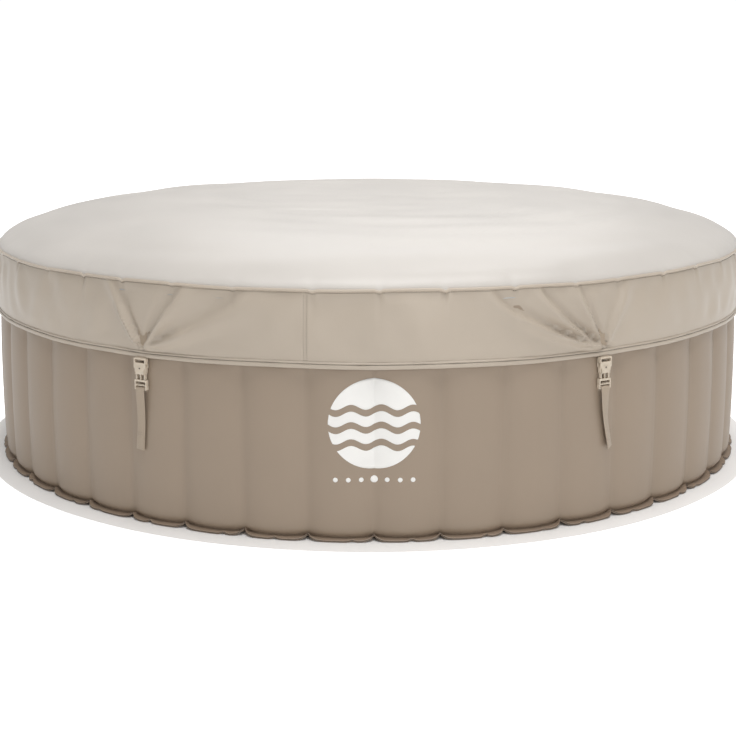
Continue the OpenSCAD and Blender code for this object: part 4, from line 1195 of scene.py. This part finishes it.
def make_controls():
    """Control panel with a raised rim, the smoked window with its plain segments, and the four buttons."""
    low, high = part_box("control_panel")
    centre = (low + high) / 2
    axes = (np.array([centre.x, centre.y, 0]), RIGHT, BACK, UP)
    half_w, half_d = (high.x - low.x) / 2, (high.y - low.y) / 2
    outline = rounded(half_w, half_d, 0.014, 10)
    rows = [(0.0, low.z), (0.0, high.z - 0.004), (0.0008, high.z - 0.0015), (0.0025, high.z + 0.0004),
            (0.0045, high.z), (0.0055, high.z - 0.001), (0.0070, high.z - 0.0012)]
    net = np.array([np.column_stack([inset(outline, d), np.full(len(outline), h)]) for d, h in rows])
    shapes = [grid(placed(net, *axes), start=True, end=True)]
    for k in range(1, 5):
        b_low, b_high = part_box(f"button_{k}")
        at = (np.array([(b_low.x + b_high.x) / 2, (b_low.y + b_high.y) / 2, 0]), RIGHT, BACK, UP)
        shapes.append(pipe([(0.0125, high.z - 0.0015), (0.0125, high.z + 0.0002), (0.0115, high.z + 0.0006),
                            (0.0098, high.z + 0.0002)], 0.0093, at))
        top = b_high.z
        piece(f"button_{k}_cap", [spun([(0.0085, b_low.z), (0.0089, top - 0.0020), (0.0082, top - 0.0006),
                                        (0.0066, top), (0.0050, top - 0.0004), (0.002, top - 0.0006)], at)],
                       [finish("button")], f"button_{k}", [f"button_{k}"])
        glyph = button_glyph(k, at[0], top + 0.0001)
        piece(f"button_{k}_mark", glyph, [finish("dark")], f"button_{k}")
    piece("panel_body", shapes, [finish("dark")], "tub", ["control_panel"])
    w_low, w_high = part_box("display_window")
    middle = (w_low + w_high) / 2
    at = (np.array([middle.x, middle.y, 0]), RIGHT, BACK, UP)
    window = [slab(rounded((w_high.x - w_low.x) / 2, (w_high.y - w_low.y) / 2, 0.004), w_low.z - 0.0004,
                   w_high.z + 0.0002, 0.0006, at)]
    for digit in (-0.018, 0.002):
        for x, y, wide in ((0, 0.008, 1), (0, 0, 1), (0, -0.008, 1), (-0.005, 0.004, 0), (0.005, 0.004, 0),
                           (0.005, -0.004, 0), (-0.005, -0.004, 0)):
            half = (0.0036, 0.0007) if wide else (0.0007, 0.0030)
            window.append(slab(rounded(*half, 0.0005, 3) + np.array([digit + x, y]), w_high.z, w_high.z + 0.0004,
                               0.0001, at, 1))
    piece("panel_window", window, [finish("window"), finish("segments")], "tub", ["display_window"])


def button_glyph(k, centre, z):
    """Plain sign on a button: a ring with a stroke, a flame-like drop, three dots, or a wave."""
    axes = (np.array([centre[0], centre[1], z - 0.0006]), RIGHT, BACK, UP)
    if k == 1:
        return [frame_block(circle(0.0032, 28), circle(0.0025, 28), 0, 0.0005, 0.0001, axes),
                slab(rounded(0.0004, 0.0016, 0.0003, 3) + np.array([0, 0.0030]), 0, 0.0006, 0.0001, axes)]
    if k == 2:
        a = np.linspace(0, TAU, 28, endpoint=False)
        drop = np.stack([0.0026 * np.cos(a) * (1 - 0.45 * (np.sin(a) + 1) / 2), 0.0033 * np.sin(a)], -1)
        return [slab(drop, 0, 0.0005, 0.0001, axes)]
    if k == 3:
        places = circle(0.0024, 3)
        return [slab(circle(0.0011, 14) + p, 0, 0.0005, 0.0001, axes) for p in places]
    t = np.linspace(-1, 1, 30)
    path = np.stack([0.0036 * t, 0.0011 * np.sin(t * TAU), 0 * t + 0.0002], -1)
    return [tube(placed(path, *axes), 0.0004, 8)]


def make_filter():
    """Filter cap with a scalloped edge and a grip bar, and the pleated cartridge under it."""
    low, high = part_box("filter_cap")
    axes = (np.array([(low.x + high.x) / 2, (low.y + high.y) / 2, 0]), RIGHT, BACK, UP)
    disc_high = low.z + 0.014
    a = np.linspace(0, TAU, 240, endpoint=False)
    scallop = 0.0016 * np.abs(np.sin(12 * a)) ** 0.7
    r = (high.x - low.x) / 2 - 0.0002
    rows = [(r - 0.0015, low.z, 1), (r, low.z + 0.0015, 1), (r, disc_high - 0.004, 1),
            (r - 0.0012, disc_high - 0.0012, 1),
            (r - 0.004, disc_high, 0.5), (r - 0.010, disc_high, 0), (r - 0.012, disc_high - 0.0015, 0),
            (0.030, disc_high - 0.0018, 0), (0.006, disc_high - 0.0014, 0)]
    net = np.array([np.column_stack([(x - m * scallop) * np.cos(a), (x - m * scallop) * np.sin(a), np.full(240, h)])
                    for x, h, m in rows])
    t = np.linspace(0, TAU, 64, endpoint=False)
    bar = np.stack([(r - 0.017) * np.sign(np.cos(t)) * np.abs(np.cos(t)) ** 0.6, 0.0085 * np.sign(np.sin(t))
                    * np.abs(np.sin(t)) ** 0.7 * (1 + 0.25 * np.cos(t) ** 2)], -1)
    shapes = [grid(placed(net, *axes), start=True, end=True),
              slab(bar, disc_high - 0.002, high.z, 0.003, axes)]
    piece("filter_cap_shell", shapes, [finish("dark")], "filter_cap", ["filter_cap"])

    low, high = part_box("filter_cartridge")
    a = np.linspace(0, TAU, 720, endpoint=False)
    pleat = 0.0022 * np.sin(60 * a)
    net = np.array([np.column_stack([(0.0455 + pleat) * np.cos(a), (0.0455 + pleat) * np.sin(a), np.full(720, h)])
                    for h in np.linspace(low.z + 0.006, high.z - 0.006, 6)])
    shapes = [grid(placed(net, *axes), start=True, end=True, finish=0)]
    for z0 in (low.z, high.z - 0.008):
        shapes.append(frame_block(circle(0.0525, 64), circle(0.022, 64), z0, z0 + 0.008, 0.001, axes, 1))
    piece("cartridge_pleats", shapes, [finish("paper"), finish("fitting")], "filter_carrier",
          ["filter_cartridge"])


def make_handle():
    """Carrying handle: a bowed tube with a thicker ribbed grip and round hinge eyes on its pins."""
    low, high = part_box("unit_handle")
    pivot, hinge_y, front = high.z - 0.007, high.y - 0.007, low.y + 0.0065
    arm = 0.053
    path = [(-arm, hinge_y, pivot), (-arm, hinge_y - 0.025, pivot), (-arm + 0.001, front + 0.012, pivot),
            (-arm + 0.010, front + 0.001, pivot), (-0.025, front, pivot), (0.025, front, pivot),
            (arm - 0.010, front + 0.001, pivot), (arm - 0.001, front + 0.012, pivot),
            (arm, hinge_y - 0.025, pivot), (arm, hinge_y, pivot)]
    path = smooth_path(path, 120)
    grip = smooth(-0.040, -0.034, path[:, 0]) * (1 - smooth(0.034, 0.040, path[:, 0])) * (path[:, 1] < front + 0.004)
    ribs = 0.0004 * np.sin(path[:, 0] * TAU / 0.006) * grip
    shapes = [tube(path, 0.0050 + 0.0010 * grip + ribs, 20)]
    for sign in (-1, 1):
        axes = (np.array([sign * arm, hinge_y, pivot]), BACK, UP, RIGHT)
        shapes.append(spun([(0.0060, -0.0050), (0.0070, -0.0042), (0.0070, 0.0042), (0.0060, 0.0050)], axes, 28))
        shapes.append(spun([(0.0036, -0.0115 if sign < 0 else -0.002), (0.0039, 0),
                            (0.0036, 0.002 if sign < 0 else 0.0115)], axes, 20))
    piece("handle_bow", shapes, [finish("dark")], "unit_handle", ["unit_handle"])


def make_nuts():
    """Union nuts: a barrel with rounded grip ribs and a stepped collar, bored for the pipe."""
    count = 240
    a = np.linspace(0, TAU, count, endpoint=False)
    rib = smooth(0.35, 0.75, np.cos(12 * a))
    for k in (1, 2, 3):
        low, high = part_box(f"coupling_nut_{k}")
        axes = (np.array([(low.x + high.x) / 2, 0, (low.z + high.z) / 2]), UP, RIGHT, BACK)
        rows = [(0.0345, low.y, 0), (0.0360, low.y + 0.0015, 0), (0.0360, low.y + 0.003, 0), (0.0362, low.y + 0.005, 1),
                (0.0362, high.y - 0.005, 1), (0.0360, high.y - 0.003, 0), (0.0360, high.y - 0.0015, 0),
                (0.0340, high.y, 0), (0.0262, high.y, 0), (0.0256, high.y - 0.001, 0), (0.0256, low.y + 0.001, 0),
                (0.0262, low.y, 0)]
        net = np.array([np.column_stack([(r + 0.0026 * m * rib) * np.cos(a), (r + 0.0026 * m * rib) * np.sin(a),
                                         np.full(count, y)]) for r, y, m in rows])
        piece(f"nut_{k}_ribbed", [grid(placed(net, *axes), ring=True)], [finish("dark")], f"coupling_nut_{k}",
              [f"coupling_nut_{k}"])


CARRIED = {  # frame nodes whose own shape stays, by finish
    "fitting": ["valve_body", "valve_cap", "drain_body", "drain_cap", "pump_impeller", "blower_fan"],
    "casing": ["wall_ports", "suction_grille", "return_grille"],
    "seal": ["port_seals"],
    "dark": ["water_pump", "air_blower"],
    "steel": ["heater_tube", "zip_slider"],
}


def finish_carried():
    """Gives every frame node that stays its finish."""
    chosen = {node: name for name, nodes in CARRIED.items() for node in nodes}
    for name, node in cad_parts.items():
        if name.startswith("prong_"):
            chosen[name] = "buckle"
        if name in chosen:
            node.data.materials.clear()
            node.data.materials.append(finish(chosen[name]))


# ---- Stage ----

def make_stage():
    """White floor, even white surroundings, a broad soft sun from above, an area light on either side of the tub
    and a camera in front."""
    scene = bpy.context.scene
    sizes = scene.stage_sizes
    corner = 30.0
    mesh = bpy.data.meshes.new("floor")
    mesh.from_pydata([(-corner, -corner, 0), (corner, -corner, 0), (corner, corner, 0), (-corner, corner, 0)], [],
                     [(0, 1, 2, 3)])
    floor = bpy.data.objects.new("floor", mesh)
    scene.collection.objects.link(floor)
    nodes = Nodes("studio_floor")
    nodes.shader.inputs["Base Color"].default_value = (0.92, 0.92, 0.92, 1)
    nodes.shader.inputs["Roughness"].default_value = 0.9
    nodes.shader.inputs["Emission Color"].default_value = (1, 1, 1, 1)
    ray = nodes.add("ShaderNodeLightPath")
    glow = nodes.add("ShaderNodeMapRange", To_Min=0.10, To_Max=0.55)
    nodes.link(ray.outputs["Is Camera Ray"], glow.inputs["Value"])
    nodes.link(glow.outputs["Result"], nodes.shader.inputs["Emission Strength"])
    mesh.materials.append(nodes.material)

    world = bpy.data.worlds.new("studio")
    world.use_nodes = True
    tree = world.node_tree
    light = tree.nodes["Background"]
    light.inputs["Color"].default_value = (0.985, 0.993, 1.0, 1)
    light.inputs["Strength"].default_value = 0.34
    sky = tree.nodes.new("ShaderNodeBackground")
    sky.inputs["Color"].default_value = (1, 1, 1, 1)
    sky.inputs["Strength"].default_value = 1.05
    ray = tree.nodes.new("ShaderNodeLightPath")
    mix = tree.nodes.new("ShaderNodeMixShader")
    tree.links.new(ray.outputs["Is Camera Ray"], mix.inputs[0])
    tree.links.new(light.outputs[0], mix.inputs[1])
    tree.links.new(sky.outputs[0], mix.inputs[2])
    tree.links.new(mix.outputs[0], tree.nodes["World Output"].inputs["Surface"])
    scene.world = world

    sun = bpy.data.lights.new("top_light", "SUN")
    sun.energy, sun.angle = 2.15, math.radians(40)
    lamp = bpy.data.objects.new("top_light", sun)
    lamp.rotation_euler = (math.radians(6), math.radians(5), 0)
    scene.collection.objects.link(lamp)
    for name, place, size, power, turn in (("front_light", (1.0, -4.0, 1.7), 2.0, 24, (72, 0, 14)),
                                           ("back_light", (0.4, 2.6, 3.4), 3.0, 52, (-38, 0, 4))):
        area = bpy.data.lights.new(name, "AREA")
        area.size, area.energy = size, power
        lamp = bpy.data.objects.new(name, area)
        lamp.location = place
        lamp.rotation_euler = tuple(math.radians(t) for t in turn)
        scene.collection.objects.link(lamp)

    lens = bpy.data.cameras.new("camera")
    lens.lens, lens.sensor_width, lens.shift_y = sizes.lens, 36, sizes.shift
    camera = bpy.data.objects.new("camera", lens)
    camera.location = (sizes.distance * math.sin(sizes.turn), -sizes.distance * math.cos(sizes.turn), sizes.height)
    camera.rotation_euler = (sizes.tilt, 0, sizes.turn)
    scene.collection.objects.link(camera)
    scene.camera = camera
    scene.view_settings.view_transform = "Standard"


# ---- Operators, panel and registration ----

class Making:
    """What every operator here does: it runs its makers in order."""
    makers = ()

    def execute(self, context):
        for make in self.makers:
            make()
        return {"FINISHED"}


class HOTTUB_OT_stage(Making, bpy.types.Operator):
    """Make the floor, the lights and the camera"""
    bl_idname, bl_label, makers = "hottub.stage", "Stage", (make_stage,)


class HOTTUB_OT_ground(Making, bpy.types.Operator):
    """Make the mat, the base sheet and the flange"""
    bl_idname, bl_label, makers = "hottub.ground", "Ground sheets", (make_ground,)


class HOTTUB_OT_walls(Making, bpy.types.Operator):
    """Make the outer wall, the rim, the inner wall and the webs"""
    bl_idname, bl_label, makers = "hottub.walls", "Walls", (make_walls, make_ribs,)


class HOTTUB_OT_pool(Making, bpy.types.Operator):
    """Make the pool's floor and its air ring"""
    bl_idname, bl_label, makers = "hottub.pool", "Pool", (make_pool,)


class HOTTUB_OT_emblem(Making, bpy.types.Operator):
    """Print the emblem on the front of the wall"""
    bl_idname, bl_label, makers = "hottub.emblem", "Emblem", (make_emblem,)


class HOTTUB_OT_cover_top(Making, bpy.types.Operator):
    """Make the domed top and its piping"""
    bl_idname, bl_label, makers = "hottub.cover_top", "Cover top", (make_cover_top,)


class HOTTUB_OT_skirt(Making, bpy.types.Operator):
    """Make the skirt, its hem and its stitching"""
    bl_idname, bl_label, makers = "hottub.skirt", "Skirt", (make_skirt,)


class HOTTUB_OT_lining(Making, bpy.types.Operator):
    """Make the lining, its zip and the bladder"""
    bl_idname, bl_label, makers = "hottub.lining", "Lining", (make_lining,)


class HOTTUB_OT_straps(Making, bpy.types.Operator):
    """Make the loops, anchors and tails of webbing"""
    bl_idname, bl_label, makers = "hottub.straps", "Straps", (make_straps,)


class HOTTUB_OT_buckles(Making, bpy.types.Operator):
    """Make the sockets and plugs"""
    bl_idname, bl_label, makers = "hottub.buckles", "Buckles", (make_buckles,)


class HOTTUB_OT_casing(Making, bpy.types.Operator):
    """Make the pump unit's casing and base"""
    bl_idname, bl_label, makers = "hottub.casing", "Casing", (make_casing, make_base,)


class HOTTUB_OT_controls(Making, bpy.types.Operator):
    """Make the panel, its window and its buttons"""
    bl_idname, bl_label, makers = "hottub.controls", "Controls", (make_controls,)


class HOTTUB_OT_filter(Making, bpy.types.Operator):
    """Make the filter's cap and cartridge"""
    bl_idname, bl_label, makers = "hottub.filter", "Filter", (make_filter,)


class HOTTUB_OT_handle(Making, bpy.types.Operator):
    """Make the carrying handle"""
    bl_idname, bl_label, makers = "hottub.handle", "Handle", (make_handle,)


class HOTTUB_OT_nuts(Making, bpy.types.Operator):
    """Make the three union nuts"""
    bl_idname, bl_label, makers = "hottub.nuts", "Coupling nuts", (make_nuts,)


class HOTTUB_OT_finishes(Making, bpy.types.Operator):
    """Give the frame's own parts their finishes"""
    bl_idname, bl_label, makers = "hottub.finishes", "Finishes", (finish_carried,)


OPERATORS = [
    HOTTUB_OT_stage, HOTTUB_OT_ground, HOTTUB_OT_walls, HOTTUB_OT_pool, HOTTUB_OT_emblem, HOTTUB_OT_cover_top,
    HOTTUB_OT_skirt, HOTTUB_OT_lining, HOTTUB_OT_straps, HOTTUB_OT_buckles, HOTTUB_OT_casing,
    HOTTUB_OT_controls, HOTTUB_OT_filter, HOTTUB_OT_handle, HOTTUB_OT_nuts, HOTTUB_OT_finishes,
]


class HOTTUB_PT_pieces(bpy.types.Panel):
    """Lists the hot tub's operators"""
    bl_idname, bl_label = "HOTTUB_PT_pieces", "Hot tub"
    bl_space_type, bl_region_type, bl_category = "VIEW_3D", "UI", "Hot tub"

    def draw(self, context):
        for made in OPERATORS:
            self.layout.operator(made.bl_idname)


GROUPS = {"tub_sizes": TubSizes, "cover_sizes": CoverSizes, "tub_colours": TubColours, "stage_sizes": StageSizes}


def register():
    """Registers the groups, operators and panel."""
    for name, group in GROUPS.items():
        bpy.utils.register_class(group)
        setattr(bpy.types.Scene, name, bpy.props.PointerProperty(type=group))
    for made in [*OPERATORS, HOTTUB_PT_pieces]:
        bpy.utils.register_class(made)


def unregister():
    """Takes them away again."""
    for made in [HOTTUB_PT_pieces, *reversed(OPERATORS)]:
        bpy.utils.unregister_class(made)
    for name, group in reversed(GROUPS.items()):
        delattr(bpy.types.Scene, name)
        bpy.utils.unregister_class(group)


def main():
    """Makes every piece."""
    register()
    for made in OPERATORS:
        getattr(bpy.ops.hottub, made.bl_idname.split(".")[1])()


if __name__ == "__main__":
    main()
